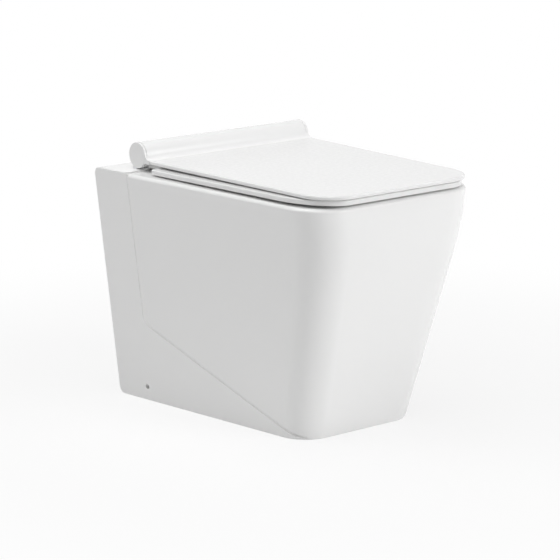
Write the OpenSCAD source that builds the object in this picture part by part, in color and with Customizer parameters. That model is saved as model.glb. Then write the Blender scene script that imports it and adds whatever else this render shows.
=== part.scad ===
// Back-to-wall toilet with a slim square soft-close seat.
// Millimetres, +Z up. The front faces -Y and the wall stands at +Y.
// The origin is the centre of the overall box, on the floor.

/* [Overall] */
// Distance from the wall to the front edge of the lid
depth = 532; // [525:1:600]
// Height of the rear deck above the floor
deck_h = 400; // [360:1:440]

/* [Pan] */
// Width of the foot at the wall
base_back_w = 336; // [300:1:360]
// How much the foot narrows for each millimetre away from the wall
base_taper = 0.213; // [0.1:0.001:0.25]
// Distance from the wall to the front of the foot
base_depth = 432; // [400:1:460]
// Corner radius of the foot at the front
base_r = 51; // [30:1:70]
// Width at deck height at the wall
rim_back_w = 432; // [400:1:460]
// How much the rim narrows for each millimetre away from the wall
rim_taper = 0.162; // [0.1:0.001:0.2]
// Distance from the wall to the front of the rim
rim_depth = 524; // [490:1:540]
// Corner radius of the rim at the front
rim_r = 67; // [40:1:90]
// Height of the upright band below the rim before the front leans in
band_h = 32; // [10:1:60]
// Radius that blends the upright band into the leaning front
bulge_r = 240; // [100:5:300]
// Rounding of the rim's outer edge
rim_edge_r = 8; // [3:0.5:12]
// Thickness of the ceramic in the skirt
wall = 12; // [9:0.5:16]
// Thickness of the rim and of the deck
slab = 27; // [20:1:35]

/* [Rear block] */
// Depth of the raised deck behind the seat
deck_depth = 70; // [60:1:78]
// Height of the deck above the rim
deck_step = 3; // [1:0.5:6]
// Rounding of the deck's outer edge
deck_edge_r = 4; // [2:0.5:8]
// Radius of the deck's front corners
deck_corner_r = 10; // [4:1:20]
// Radius of the rear block's upper and lower rear edge, seen from the side
rear_r = 13; // [5:1:25]
// Step between the bowl body and the rear block at the crease
crease_step = 1.6; // [0.8:0.1:3]
// Distance of the upright crease from the wall
crease_d = 81; // [79:1:120]
// Height at which the crease turns forward
crease_z = 141; // [100:1:220]
// Radius of the crease's bend
crease_r = 22; // [8:1:40]

/* [Bowl and waterways] */
// Width of the bowl's mouth
mouth_w = 262; // [220:1:280]
// Distance from the wall to the back of the bowl's mouth
mouth_back = 165; // [160:1:190]
// Length of the bowl's mouth
mouth_l = 304; // [270:1:320]
// Corner radius of the bowl's mouth
mouth_r = 75; // [50:1:100]
// Width of the sump
sump_w = 96; // [88:1:120]
// Length of the sump
sump_l = 96; // [90:1:120]
// Distance from the wall to the middle of the sump
sump_d = 300; // [290:1:320]
// Height of the bottom of the sump above the floor
sump_z = 38; // [30:1:60]
// Radius of the sump's floor
sump_r = 30; // [15:1:40]
// Thickness of the bowl's wall
bowl_wall = 10; // [8:0.5:14]
// Inner radius of the trapway
trap_r = 32; // [25:0.5:36]
// Thickness of the trapway's wall
trap_wall = 9; // [6:0.5:12]
// Bend radius of the trapway
trap_bend_r = 56; // [50:1:80]
// Slope of the rising leg of the trapway
trap_angle = 50; // [40:1:60]
// Length of the rising leg of the trapway
trap_leg = 122; // [112:1:128]
// Height of the centre of the outlet
outlet_z = 185; // [170:1:200]
// Outer radius of the outlet spigot
outlet_r = 51; // [45:0.5:55]
// Inner radius of the outlet spigot
outlet_bore_r = 42; // [36:0.5:44]
// Length of the outlet spigot
outlet_l = 48; // [30:1:60]
// Distance of the outlet's end from the wall
outlet_gap = 12; // [5:1:30]
// Height of the centre of the flush inlet
inlet_z = 322; // [300:1:328]
// Outer radius of the flush inlet horn
inlet_r = 37; // [34:0.5:40]
// Inner radius of the flush inlet horn
inlet_bore_r = 27.5; // [24:0.5:30]
// Distance of the horn's end from the wall
inlet_gap = 26; // [15:1:40]
// Inner radius of the rubber flush seal, for the flush pipe
flush_pipe_r = 22.3; // [18:0.1:23]
// Depth of the seal inside the horn
flush_seal_l = 24; // [15:1:40]

/* [Floor fixing] */
// Radius of the side fixing hole
side_hole_r = 4.5; // [3:0.1:6]
// Height of the side fixing hole
side_hole_z = 24.5; // [20:0.5:30]
// Distance of the side fixing hole from the wall
side_hole_d = 71; // [60:1:100]
// Radius of the pilot hole in the floor bracket
pilot_r = 2.2; // [1.5:0.1:3]
// Length of the floor bracket along the skirt
bracket_l = 46; // [36:1:60]
// Width of the floor bracket's foot
bracket_w = 40; // [34:1:50]
// Height of the floor bracket
bracket_h = 38; // [34:1:50]
// Thickness of the floor bracket
bracket_t = 7; // [5:0.5:10]
// Radius of the floor screw's shank
floor_screw_r = 3; // [2:0.1:4]

/* [Seat] */
// Height of the seat's underside above the rim
seat_gap = 7.3; // [4:0.1:9]
// Thickness of the seat
seat_t = 7; // [6:0.5:10]
// Width of the seat if it reached the wall
seat_back_w = 400; // [370:1:402]
// How much the seat narrows for each millimetre away from the wall
seat_taper = 0.114; // [0:0.001:0.15]
// Distance from the wall to the back edge of the seat
seat_back = 113; // [110:1:125]
// Distance from the lid's front edge to the seat's
seat_setback = 2.5; // [0:0.5:20]
// Corner radius of the seat at the front
seat_r = 67; // [40:1:80]
// Length of the seat's front corners as a multiple of their radius
seat_stretch = 1.7; // [1:0.05:2]
// Width of the hole in the seat
hole_w = 236; // [200:1:250]
// Distance from the wall to the back of the hole
hole_back = 182; // [176:1:200]
// Length of the hole
hole_l = 280; // [250:1:290]
// Corner radius of the hole
hole_r = 88; // [50:1:100]
// Corner radius of the seat at the back
seat_back_r = 6; // [3:1:10]
// Rounding of the seat's edges
seat_edge_r = 2.5; // [1:0.5:3.5]

/* [Lid] */
// Gap between the closed lid and the seat
lid_gap = 1.5; // [1:0.1:4]
// Thickness of the lid
lid_t = 5.5; // [5:0.5:9]
// Width of the lid if it reached the wall
lid_back_w = 358; // [350:1:380]
// How much the lid narrows for each millimetre away from the wall
lid_taper = 0.0605; // [0:0.0005:0.1]
// Corner radius of the lid at the front
lid_r = 62; // [40:1:80]
// Rounding of the lid's edges
lid_edge_r = 2.5; // [1:0.5:2.5]

/* [Hinge] */
// Distance of the hinge axis from the wall
axis_d = 68; // [66:1:70]
// Outer radius of the hinge barrel
barrel_r = 21.8; // [20:0.1:22.5]
// Length of the barrel with its end caps
barrel_l = 354; // [330:1:360]
// Gap between the barrel and the deck
barrel_gap = 1.7; // [1.6:0.1:3]
// Thickness of the barrel's shell
barrel_wall = 3.6; // [3:0.1:5]
// Radius of the fillet between the barrel and the lid
fillet_r = 12; // [6:1:20]
// Thickness of the end caps with the cheek that they cover
cap_t = 4.5; // [4:0.1:6]
// Gap between the end caps and the turning barrel
cap_gap = 0.5; // [0.3:0.1:1]
// Thickness of the steel cheeks
cheek_t = 2; // [1.5:0.1:2.5]
// Thickness of the steel feet
foot_t = 1.2; // [1:0.1:1.5]
// Distance of the steel feet behind the deck's front edge
foot_setback = 5; // [4:0.5:8]
// Width of a foot's arm, which runs under the barrel to its cheek
arm_w = 11; // [8:0.5:13]
// Half the width of a foot's tab round its bolt
tab_side = 16; // [12:0.5:18]
// Distance from a bolt to the back edge of its tab
tab_back = 13; // [10:0.5:15]
// Distance of a cheek's edge inside the edge of its cap
cheek_inset = 2.4; // [2:0.1:4]
// Radius of the damper bodies
damper_r = 9; // [8:0.1:10]
// Length of the damper bodies
damper_l = 62; // [50:1:80]
// Radius of the damper rotors
rotor_r = 4; // [3:0.1:5]
// Length of a rotor inside its damper
rotor_l = 24; // [15:1:40]
// Width of the key on rotors and damper bodies
key_w = 3; // [2:0.1:3.5]
// Height of the key on rotors and damper bodies
key_h = 1.5; // [1:0.1:1.8]
// Wall thickness of the plain bearings
bush_t = 2; // [1.5:0.1:3]
// Running clearance of the hinge bearings
run_gap = 0.06; // [0.02:0.01:0.1]
// Clearance of pieces that are pushed together
seat_fit = 0.03; // [0.01:0.01:0.1]
// Width of a hinge lug of the seat
lug_w = 14; // [10:1:18]
// Distance of a lug from the barrel's end
lug_in = 14; // [12:1:20]
// Radius of the eye of a lug
eye_r = 14.5; // [13:0.1:16]
// Side clearance of the lugs in the barrel's slots
lug_gap = 1.2; // [0.5:0.1:2]

/* [Buffers] */
// Radius of the buffers
buffer_r = 6; // [4:0.5:8]
// Distance of the seat's front buffers from its front edge
seat_buffer_in = 40; // [35:1:50]
// Half the distance between the seat's front buffers
seat_buffer_x = 92; // [60:1:100]
// Distance of the seat's rear buffers behind the seat's back edge
seat_buffer_back = 40; // [20:1:60]
// Distance of the lid's front buffers from the seat's front edge
lid_buffer_in = 30; // [20:1:40]
// Half the distance between the lid's front buffers
lid_buffer_x = 70; // [40:1:100]
// Distance of the lid's rear buffers behind the seat's back edge
lid_buffer_back = 60; // [30:1:80]
// Distance of the rear buffers from the hole's side
buffer_side = 29; // [20:1:34]

/* [Seat fixing] */
// Distance between the two hinge bolts
bolt_spacing = 155; // [140:1:170]
// Distance of the hinge bolts from the wall
bolt_d = 31; // [28:1:34]
// Radius of the hinge bolts
bolt_r = 3; // [2.5:0.5:4]
// Length of the hinge bolts below the head
bolt_l = 62; // [55:1:80]
// Radius of the holes in the deck
deck_hole_r = 8; // [7:0.5:9]
// Thickness of the sleeves' flange under the deck
flange_t = 3; // [2:0.5:4]
// Thickness of the washers
washer_t = 2; // [1:0.5:3]

/* [Hidden] */
$fn = 64;

// Steps of a front corner, of a back corner, of an inner corner and of a rounded edge
corner_steps = 12;
back_steps = 3;
inner_steps = 8;
edge_steps = 4;
inner_steps_all = [for (i = [0:5]) inner_steps];
// Sides of the trapway and steps of its bend
trap_sides = 28;
trap_steps = 6;
// Straight run of the trapway behind its bend, with the outlet spigot
trap_run = 122;
// Length of the closed shoulder in front of the spigot's bore
spigot_shoulder = 12;
// Levels in the straight and in the curved stretch of the skirt
straight_steps = 6;
blend_steps = 5;
// Height by which the rear block and the bowl body overlap behind the crease
crease_lap = 4;
// Over-length that makes a cut run clear of a face
over = 1;
// A large size for cutting blocks
big = 1000;

wall_y = depth / 2;
outlet_y = wall_y - outlet_gap;
rim_z = deck_h - deck_step;
band_z = rim_z - band_h;
slab_z = deck_h - slab;
seat_z = rim_z + seat_gap;
seat_top = seat_z + seat_t;
lid_z = seat_top + lid_gap;
lid_top = lid_z + lid_t;
axis_y = wall_y - axis_d;
axis_z = deck_h + barrel_gap + barrel_r;
seat_depth = depth - seat_setback;
cap_x = barrel_l / 2;
end_x = cap_x - cap_t - cap_gap;
lug_x = cap_x - lug_in - lug_w / 2;
barrel_in_r = barrel_r - barrel_wall;
end_wall = 6;
bush_r = damper_r + bush_t;
damper_x = end_x - 1;
lid_back = axis_d + barrel_r - lid_t;
bolt_x = bolt_spacing / 2;

// Colours as the photo shows them
glaze = [0.95, 0.95, 0.94];
plastic = [0.94, 0.94, 0.94];
steel = [0.70, 0.71, 0.73];
rubber = [0.16, 0.16, 0.17];
nylon = [0.86, 0.86, 0.82];
buffer = [0.90, 0.90, 0.88];

// Gap between a buffer and the face below it, and between a floor bracket and the skirt
pad_gap = 0.3;
bracket_gap = 0.6;
// Clearance of screws and bolts in their holes, and of a cheek in its cap
hole_gap = 0.3;
pocket_gap = 0.2;
// Powers that shape the bowl's side and space its levels, and its least corner radius
bowl_power = 1.3;
level_power = 1.2;
least_r = 0.5;
// Distance of the crease's front end behind the front of the foot
crease_end = 2;
// A lug's arm, from the hinge axis forward: its upper and lower bend, and its two points inside the eye
lug_root = 12;
lug_top = 18;
lug_low = 9.5;
lug_in_top = [10, -6];
lug_in_low = [-2, -9];
// Distance in front of the axis at which the lid's underside meets the barrel
lid_root = 8;

// Value at a share t of the way from a to b
function mix(a, b, t) = a + (b - a) * t;
function unit(v) = v / norm(v);
function turned(p, a) = [p.x * cos(a) - p.y * sin(a), p.x * sin(a) + p.y * cos(a)];

// Points of the arc that rounds corner b between its neighbours a and c
function corner_arc(a, b, c, r, steps) =
    let (
        u = unit(a - b),
        v = unit(c - b),
        half = acos(u * v) / 2,
        centre = b + unit(u + v) * r / sin(half),
        start = b + u * r / tan(half) - centre,
        way = sign(cross(b - a, c - b))
    )
    [for (i = [0:steps]) centre + turned(start, way * (180 - 2 * half) * i / steps)];

// A closed outline whose corners are rounded, each with its own radius and steps. Radius 0 keeps a corner.
function rounded(points, radii, steps) =
    let (n = len(points))
    [for (i = [0:n - 1])
        each radii[i] == 0 ? [points[i]]
        : corner_arc(points[(i + n - 1) % n], points[i], points[(i + 1) % n], radii[i], steps[i])];

// A plan outline that narrows from the back to the front, anticlockwise from its back right corner.
// The corners are ellipses, longer from back to front by the factor stretch.
function tapered(back_w, taper, back_d, front_d, back_r, front_r, stretch = 1) =
    let (
        back = (back_w - taper * back_d) / 2,
        front = (back_w - taper * front_d) / 2,
        back_y = (wall_y - back_d) / stretch,
        front_y = (wall_y - front_d) / stretch,
        outline = rounded(
            [[back, back_y], [-back, back_y], [-front, front_y], [front, front_y]],
            [back_r, back_r, front_r, front_r],
            [back_steps, back_steps, corner_steps, corner_steps]
        )
    )
    [for (p = outline) [p.x, p.y * stretch]];

// A solid skin through rings of equal length, each anticlockwise when seen from the next one
module skin(rings) {
    n = len(rings[0]);
    last = len(rings) - 1;
    points = [for (ring = rings) each ring];
    bottom = [for (i = [0:n - 1]) i];
    top = [for (i = [n - 1:-1:0]) last * n + i];
    sides = [
        for (k = [0:last - 1]) for (i = [0:n - 1])
            let (a = k * n + i, b = k * n + (i + 1) % n)
            each [[a, a + n, b + n], [a, b + n, b]]
    ];
    polyhedron(points, concat([bottom], [top], sides), convexity = 10);
}

// A skin through flat outlines, one above the other
module loft(outlines, heights) {
    skin([for (k = [0:len(outlines) - 1]) [for (p = outlines[k]) [p.x, p.y, heights[k]]]]);
}

// A plate with rounded edges. The profile gives pairs of edge inset and height.
function plate_profile(z, t, r) = concat(
    [for (i = [0:edge_steps]) let (a = 90 * i / edge_steps) [r * (1 - sin(a)), z + r * (1 - cos(a))]],
    [for (i = [edge_steps:-1:0]) let (a = 90 * i / edge_steps) [r * (1 - sin(a)), z + t - r * (1 - cos(a))]]
);

// The skirt: width, taper, front distance and corner radius at height z
function skirt_w(z) = mix(base_back_w, rim_back_w, z / deck_h);
function skirt_taper(z) = mix(base_taper, rim_taper, z / deck_h);
function skirt_r(z) = mix(base_r, rim_r, z / deck_h);
lean_dx = rim_depth - bulge_r - base_depth;
lean = atan2(lean_dx, band_z) + asin(bulge_r / norm([lean_dx, band_z]));
lean_z = band_z - bulge_r * sin(lean);
function skirt_d(z) =
    z >= band_z ? rim_depth
    : z <= lean_z ? base_depth + z * tan(lean)
    : rim_depth - bulge_r + sqrt(pow(bulge_r, 2) - pow(band_z - z, 2));
function skirt(z, inset, back_d = 0) = tapered(
    skirt_w(z) - 2 * inset, skirt_taper(z), back_d, skirt_d(z) - inset, 0, skirt_r(z) - inset
);

// The skirt as a solid up to the height top, with its upper edge rounded
module skirt_solid(top, inset, edge_r) {
    straight = [for (i = [0:straight_steps - 1]) mix(0, lean_z, i / straight_steps)];
    blend = [for (i = [0:blend_steps]) mix(lean_z, band_z, i / blend_steps)];
    edge = [for (i = [0:edge_steps]) 90 * i / edge_steps];
    heights = concat(straight, blend, [for (a = edge) top - edge_r * (1 - sin(a))]);
    insets = concat(
        [for (i = [0:straight_steps + blend_steps]) inset], [for (a = edge) inset + edge_r * (1 - cos(a))]
    );
    loft([for (k = [0:len(heights) - 1]) skirt(heights[k], insets[k])], heights);
}

// A side profile, drawn as distance from the wall and height, run across the full width
module across(w) {
    translate([-w / 2, wall_y, 0])
        rotate([90, 0, 90])
            linear_extrude(w)
                mirror([1, 0])
                    children();
}

// The rear block and the foot, under the raised deck
module rear_block() {
    deck_front = wall_y - deck_depth;
    deck_w = rim_back_w - rim_taper * deck_depth - 2 * crease_step;
    difference() {
        intersection() {
            skirt_solid(deck_h, crease_step, deck_edge_r);
            across(big)
                polygon(rounded(
                    [
                        [0, 0], [base_depth, 0], [base_depth, crease_lap], [crease_d + over, crease_z + crease_lap],
                        [crease_d + over, deck_h], [0, deck_h]
                    ],
                    [rear_r, 0, 0, crease_r, 0, rear_r], inner_steps_all
                ));
        }
        translate([0, 0, rim_z])
            difference() {
                translate([-big / 2, -big / 2, 0])
                    cube([big, big, big]);
                translate([0, 0, -over])
                    linear_extrude(deck_h)
                        polygon(rounded(
                            [
                                [deck_w / 2, deck_front], [big / 2, wall_y + over],
                                [-big / 2, wall_y + over], [-deck_w / 2, deck_front]
                            ],
                            [deck_corner_r, 0, 0, deck_corner_r], inner_steps_all
                        ));
            }
    }
}

// The bowl body, which stands proud of the rear block in front of the crease
module bowl_body() {
    intersection() {
        skirt_solid(rim_z, 0, rim_edge_r);
        across(big)
            polygon(rounded(
                [[crease_d, big], [crease_d, crease_z], [base_depth - crease_end, 0], [big, 0], [big, big]],
                [0, crease_r, 0, 0, 0], inner_steps_all
            ));
    }
}

// The hollow of the skirt, open at the back and underneath
module skirt_hollow() {
    inset = wall + crease_step;
    heights = concat(
        [-over], [for (i = [1:straight_steps - 1]) mix(0, lean_z, i / straight_steps)],
        [for (i = [0:blend_steps]) mix(lean_z, slab_z, i / blend_steps)]
    );
    loft([for (z = heights) skirt(max(z, 0), inset, -over * 4)], heights);
}

// Shape of the bowl at a share t of its height, grown outward by grow
bowl_h = deck_h + over - sump_z;
function bowl_outline(t, grow) =
    let (
        z = bowl_h * t,
        swell = pow(sin(90 * t), bowl_power),
        tuck = z < sump_r ? sump_r - sqrt(pow(sump_r, 2) - pow(sump_r - z, 2)) : 0,
        mouth_d = mouth_back + mouth_l / 2,
        w = mix(sump_w, mouth_w, swell) / 2 - tuck + grow,
        l = mix(sump_l, mouth_l, swell) / 2 - tuck + grow,
        y = wall_y - mix(sump_d, mouth_d, swell),
        r = min(mix(sump_w / 2 - over, mouth_r, swell) - tuck + grow, w - least_r, l - least_r)
    )
    rounded(
        [[w, y + l], [-w, y + l], [-w, y - l], [w, y - l]], [r, r, r, r], inner_steps_all
    );
bowl_shares = concat(
    [for (a = [0:15:75]) sump_r * (1 - cos(a)) / bowl_h],
    [for (i = [0:8]) mix(sump_r / bowl_h, 1, pow(i / 8, level_power))]
);

// The bowl's cavity, or its outer shell when grown
module bowl_form(grow) {
    loft(
        [for (t = bowl_shares) bowl_outline(t, grow)],
        [for (t = bowl_shares) mix(sump_z - grow, sump_z + bowl_h, t)]
    );
}

// A ring of radius r around the trapway's path, where the path rises at the given angle
function trap_ring(y, z, rise, r) = [
    for (i = [0:trap_sides - 1])
        let (a = -360 * i / trap_sides)
        [r * cos(a), y - r * sin(a) * sin(rise), z + r * sin(a) * cos(rise)]
];

// The trapway up to the outlet as a solid of radius r, with a round end in the sump
module trap_tube(r, extra) {
    top_y = outlet_y - trap_run;
    bend_z = outlet_z - trap_bend_r;
    low_y = top_y - trap_bend_r * sin(trap_angle) - trap_leg * cos(trap_angle);
    low_z = bend_z + trap_bend_r * cos(trap_angle) - trap_leg * sin(trap_angle);
    skin(concat(
        [for (a = [75:-25:0])
            trap_ring(low_y - r * sin(a) * cos(trap_angle), low_z - r * sin(a) * sin(trap_angle), trap_angle, r * cos(a))],
        [for (a = [trap_angle:-trap_angle / trap_steps:0.01])
            trap_ring(top_y - trap_bend_r * sin(a), bend_z + trap_bend_r * cos(a), a, r)],
        [trap_ring(top_y, outlet_z, 0, r), trap_ring(outlet_y + extra, outlet_z, 0, r)]
    ));
}

// The outlet spigot as a solid of radius r and length l
module spigot(r, l, extra) {
    translate([0, outlet_y - l, outlet_z])
        rotate([-90, 0, 0])
            cylinder(h = l + extra, r = r);
}

// The flush inlet's path as a solid of radius r that starts the length reach inside the bowl
module inlet(r, reach, gap) {
    translate([0, wall_y - mouth_back - reach, inlet_z])
        rotate([-90, 0, 0])
            cylinder(h = mouth_back + reach - gap, r = r);
}

module side_holes() {
    translate([0, wall_y - side_hole_d, side_hole_z])
        rotate([0, 90, 0])
            cylinder(h = big, r = side_hole_r, center = true);
}

module deck_holes() {
    for (side = [-1, 1])
        translate([side * bolt_x, wall_y - bolt_d, slab_z - slab])
            cylinder(h = slab * 3, r = deck_hole_r);
}

module pan() {
    color(glaze)
        difference() {
            union() {
                difference() {
                    union() {
                        rear_block();
                        bowl_body();
                    }
                    skirt_hollow();
                    side_holes();
                }
                intersection() {
                    bowl_form(bowl_wall);
                    translate([-big / 2, -big / 2, 0])
                        cube([big, big, slab_z + over]);
                }
                trap_tube(trap_r + trap_wall, 0 - outlet_l);
                spigot(outlet_r, outlet_l + spigot_shoulder, 0);
                inlet(inlet_r, bowl_wall, inlet_gap);
            }
            bowl_form(0);
            trap_tube(trap_r, over);
            spigot(outlet_bore_r, outlet_l, over);
            inlet(inlet_bore_r, mouth_r / 2, inlet_gap - over);
            deck_holes();
        }
}

module flush_seal() {
    lip = 3;
    lip_in = 2;
    end_y = wall_y - inlet_gap;
    color(rubber)
        translate([0, end_y, inlet_z])
            rotate([-90, 0, 0])
                difference() {
                    union() {
                        translate([0, 0, -flush_seal_l])
                            cylinder(h = flush_seal_l + lip, r = inlet_bore_r - seat_fit);
                        cylinder(h = lip, r = inlet_r - lip_in);
                    }
                    translate([0, 0, -flush_seal_l - over])
                        cylinder(h = flush_seal_l + lip + 2 * over, r = flush_pipe_r);
                }
}

// Inside half-width of the skirt at the side fixing hole, at height z
function inner_x(z) = (skirt_w(z) - skirt_taper(z) * side_hole_d) / 2 - wall - crease_step;
bracket_x = inner_x(0) - bracket_l / 2 * skirt_taper(0) / 2 - bracket_gap;
screw_x = bracket_x - bracket_w / 2 - bracket_t / 2;

// A nylon floor bracket on the right-hand side
module floor_bracket() {
    y = wall_y - side_hole_d;
    color(nylon)
        difference() {
            union() {
                translate([bracket_x - bracket_w, y - bracket_l / 2, 0])
                    cube([bracket_w, bracket_l, bracket_t]);
                translate([bracket_x - bracket_t, y - bracket_l / 2, 0])
                    cube([bracket_t, bracket_l, bracket_h]);
                for (end = [-1, 1])
                    translate([bracket_x - bracket_w, y + end * (bracket_l - bracket_t / 2) / 2 - bracket_t / 4, 0])
                        rotate([90, 0, 0])
                            mirror([0, 0, 1])
                                linear_extrude(bracket_t / 2)
                                    polygon([[0, 0], [bracket_w, 0], [bracket_w, bracket_h], [0, bracket_t]]);
                translate([bracket_x - bracket_t * 2, y, side_hole_z])
                    rotate([0, 90, 0])
                        cylinder(h = bracket_t * 2, r = pilot_r * 3);
            }
            translate([bracket_x - bracket_t * 3, y, side_hole_z])
                rotate([0, 90, 0])
                    cylinder(h = bracket_t * 4, r = pilot_r);
            translate([screw_x, y, -over])
                cylinder(h = bracket_t + 2 * over, r = floor_screw_r + hole_gap);
        }
}

module floor_bracket_right() {
    floor_bracket();
}

module floor_bracket_left() {
    mirror([1, 0, 0])
        floor_bracket();
}

module floor_screws() {
    head_h = 3.5;
    socket = 1.8;
    color(steel)
        for (side = [-1, 1])
            translate([side * screw_x, wall_y - side_hole_d, 0])
                difference() {
                    union() {
                        cylinder(h = bracket_t, r = floor_screw_r);
                        translate([0, 0, bracket_t])
                            cylinder(h = head_h, r = floor_screw_r * 2);
                    }
                    translate([0, 0, bracket_t + head_h - socket])
                        cylinder(h = socket + over, r = floor_screw_r, $fn = 6);
                }
}

// Places children on the hinge axis, with their z axis along +X
module on_axis(x) {
    translate([x, axis_y, axis_z])
        rotate([0, 90, 0])
            children();
}

cheek_x = cap_x - cap_t;
cheek_r = barrel_r - cheek_inset;
foot_front = wall_y - deck_depth + foot_setback;

// Outline of a steel foot: a tab round the bolt and an arm under the barrel that ends at the cheek
module foot_outline() {
    tab_y = wall_y - bolt_d + tab_back;
    arm_y = foot_front + arm_w;
    in_x = bolt_x - tab_side;
    out_x = bolt_x + tab_side;
    end = cheek_x + cheek_t;
    polygon(rounded(
        [[in_x, foot_front], [end, foot_front], [end, arm_y], [out_x, arm_y], [out_x, tab_y], [in_x, tab_y]],
        [arm_w / 3, 0, 0, arm_w / 3, arm_w / 3, arm_w / 3], inner_steps_all
    ));
}

// A steel foot with its end cheek, on the right-hand side
module hinge_bracket() {
    color(steel)
        difference() {
            union() {
                on_axis(cheek_x)
                    cylinder(h = cheek_t, r = cheek_r);
                translate([cheek_x, foot_front, deck_h])
                    cube([cheek_t, arm_w, axis_z - deck_h - rotor_r * 2]);
                translate([0, 0, deck_h])
                    linear_extrude(foot_t)
                        foot_outline();
            }
            on_axis(cheek_x - over)
                cylinder(h = cheek_t + 2 * over, r = rotor_r + seat_fit);
            on_axis(cheek_x - over)
                translate([0, -key_w / 2, 0])
                    cube([rotor_r + key_h, key_w, cheek_t + 2 * over]);
            translate([bolt_x, wall_y - bolt_d, deck_h - over])
                cylinder(h = foot_t + 2 * over, r = bolt_r + hole_gap);
        }
}

module hinge_bracket_right() {
    hinge_bracket();
}

module hinge_bracket_left() {
    mirror([1, 0, 0])
        hinge_bracket();
}

// The round white cap over a cheek, on the right-hand side
module hinge_cap() {
    pocket_t = cheek_t + pocket_gap + over;
    color(plastic)
        difference() {
            on_axis(cheek_x)
                cylinder(h = cap_t, r = barrel_r);
            on_axis(cheek_x - over)
                cylinder(h = pocket_t, r = cheek_r + pocket_gap);
            translate([cheek_x - over, foot_front - pocket_gap, deck_h - over])
                cube([pocket_t, arm_w + 2 * pocket_gap, axis_z - deck_h]);
        }
}

module hinge_cap_right() {
    hinge_cap();
}

module hinge_cap_left() {
    mirror([1, 0, 0])
        hinge_cap();
}

// A damper's rotor, keyed in the right-hand cheek
module damper_rotor() {
    color(steel)
        on_axis(end_x - rotor_l) {
            cylinder(h = rotor_l + cap_gap + cheek_t, r = rotor_r);
            translate([0, -key_w / 2 + seat_fit, rotor_l + cap_gap])
                cube([rotor_r + key_h - seat_fit, key_w - 2 * seat_fit, cheek_t]);
        }
}

module lid_damper_rotor() {
    damper_rotor();
}

module seat_damper_rotor() {
    mirror([1, 0, 0])
        damper_rotor();
}

// A damper's body on the right-hand side, with a key over the stretch given as [inner, outer] x
module damper_body(key) {
    color(nylon)
        difference() {
            union() {
                on_axis(damper_x - damper_l)
                    cylinder(h = damper_l, r = damper_r);
                on_axis(key[0])
                    translate([0, -key_w / 2, 0])
                        cube([damper_r + key_h, key_w, key[1] - key[0]]);
            }
            on_axis(end_x - rotor_l - over)
                cylinder(h = rotor_l + 2 * over, r = rotor_r + run_gap);
        }
}

module lid_damper_body() {
    damper_body([end_x - end_wall, end_x - 1]);
}

module seat_damper_body() {
    mirror([1, 0, 0])
        damper_body([lug_x - lug_w / 2, lug_x + lug_w / 2]);
}

module seat_bush() {
    color(nylon)
        on_axis(lug_x - lug_w / 2)
            difference() {
                cylinder(h = lug_w, r = bush_r);
                translate([0, 0, -over])
                    cylinder(h = lug_w + 2 * over, r = damper_r + run_gap);
            }
}

module lid_bush() {
    color(nylon)
        mirror([1, 0, 0])
            on_axis(end_x - end_wall)
                difference() {
                    cylinder(h = end_wall, r = bush_r);
                    translate([0, 0, -over])
                        cylinder(h = end_wall + 2 * over, r = damper_r + run_gap);
                }
}

module hinge_bolts() {
    head_h = 5;
    color(steel)
        for (side = [-1, 1])
            translate([side * bolt_x, wall_y - bolt_d, deck_h + foot_t]) {
                translate([0, 0, -bolt_l])
                    cylinder(h = bolt_l, r = bolt_r);
                cylinder(h = head_h, r = bolt_r * 1.9, $fn = 6);
            }
}

module hinge_sleeves() {
    color(rubber)
        for (side = [-1, 1])
            translate([side * bolt_x, wall_y - bolt_d, slab_z])
                difference() {
                    union() {
                        cylinder(h = slab, r = deck_hole_r - seat_fit);
                        translate([0, 0, -flange_t])
                            cylinder(h = flange_t, r = deck_hole_r * 1.6);
                    }
                    translate([0, 0, -flange_t - over])
                        cylinder(h = slab + flange_t + 2 * over, r = bolt_r + seat_fit);
                }
}

module hinge_washers() {
    color(steel)
        for (side = [-1, 1])
            translate([side * bolt_x, wall_y - bolt_d, slab_z - flange_t - washer_t])
                difference() {
                    cylinder(h = washer_t, r = deck_hole_r * 1.5);
                    translate([0, 0, -over])
                        cylinder(h = washer_t + 2 * over, r = bolt_r + seat_fit);
                }
}

module hinge_nuts() {
    nut_h = 6;
    color(steel)
        for (side = [-1, 1])
            translate([side * bolt_x, wall_y - bolt_d, slab_z - flange_t - washer_t - nut_h])
                difference() {
                    cylinder(h = nut_h, r = bolt_r * 1.9, $fn = 6);
                    translate([0, 0, -over])
                        cylinder(h = nut_h + 2 * over, r = bolt_r + seat_fit);
                }
}

// The arm and the eye of a seat lug, as distance from the wall and height
module lug_profile() {
    axis = [axis_d, axis_z];
    root = seat_back + lug_root;
    polygon([
        [root, seat_z], [root, seat_top], [axis_d + lug_top, seat_top],
        axis + lug_in_top, axis + lug_in_low, [axis_d + lug_low, seat_z]
    ]);
    translate(axis)
        circle(eye_r);
}

module seat_lugs() {
    for (side = [-1, 1])
        translate([side * lug_x, 0, 0])
            across(lug_w)
                lug_profile();
}

module seat_ring() {
    profile = plate_profile(seat_z, seat_t, seat_edge_r);
    color(plastic)
        difference() {
            union() {
                loft(
                    [for (p = profile) tapered(
                        seat_back_w - 2 * p[0], seat_taper, seat_back + p[0], seat_depth - p[0],
                        seat_back_r, seat_r - p[0], seat_stretch
                    )],
                    [for (p = profile) p[1]]
                );
                seat_lugs();
            }
            seat_hole();
            on_axis(-cap_x)
                cylinder(h = cap_x, r = damper_r + seat_fit);
            on_axis(-cap_x)
                translate([0, -key_w / 2 - seat_fit, 0])
                    cube([damper_r + key_h + seat_fit, key_w + 2 * seat_fit, cap_x]);
            on_axis(0)
                cylinder(h = cap_x, r = bush_r + seat_fit);
        }
}

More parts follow.
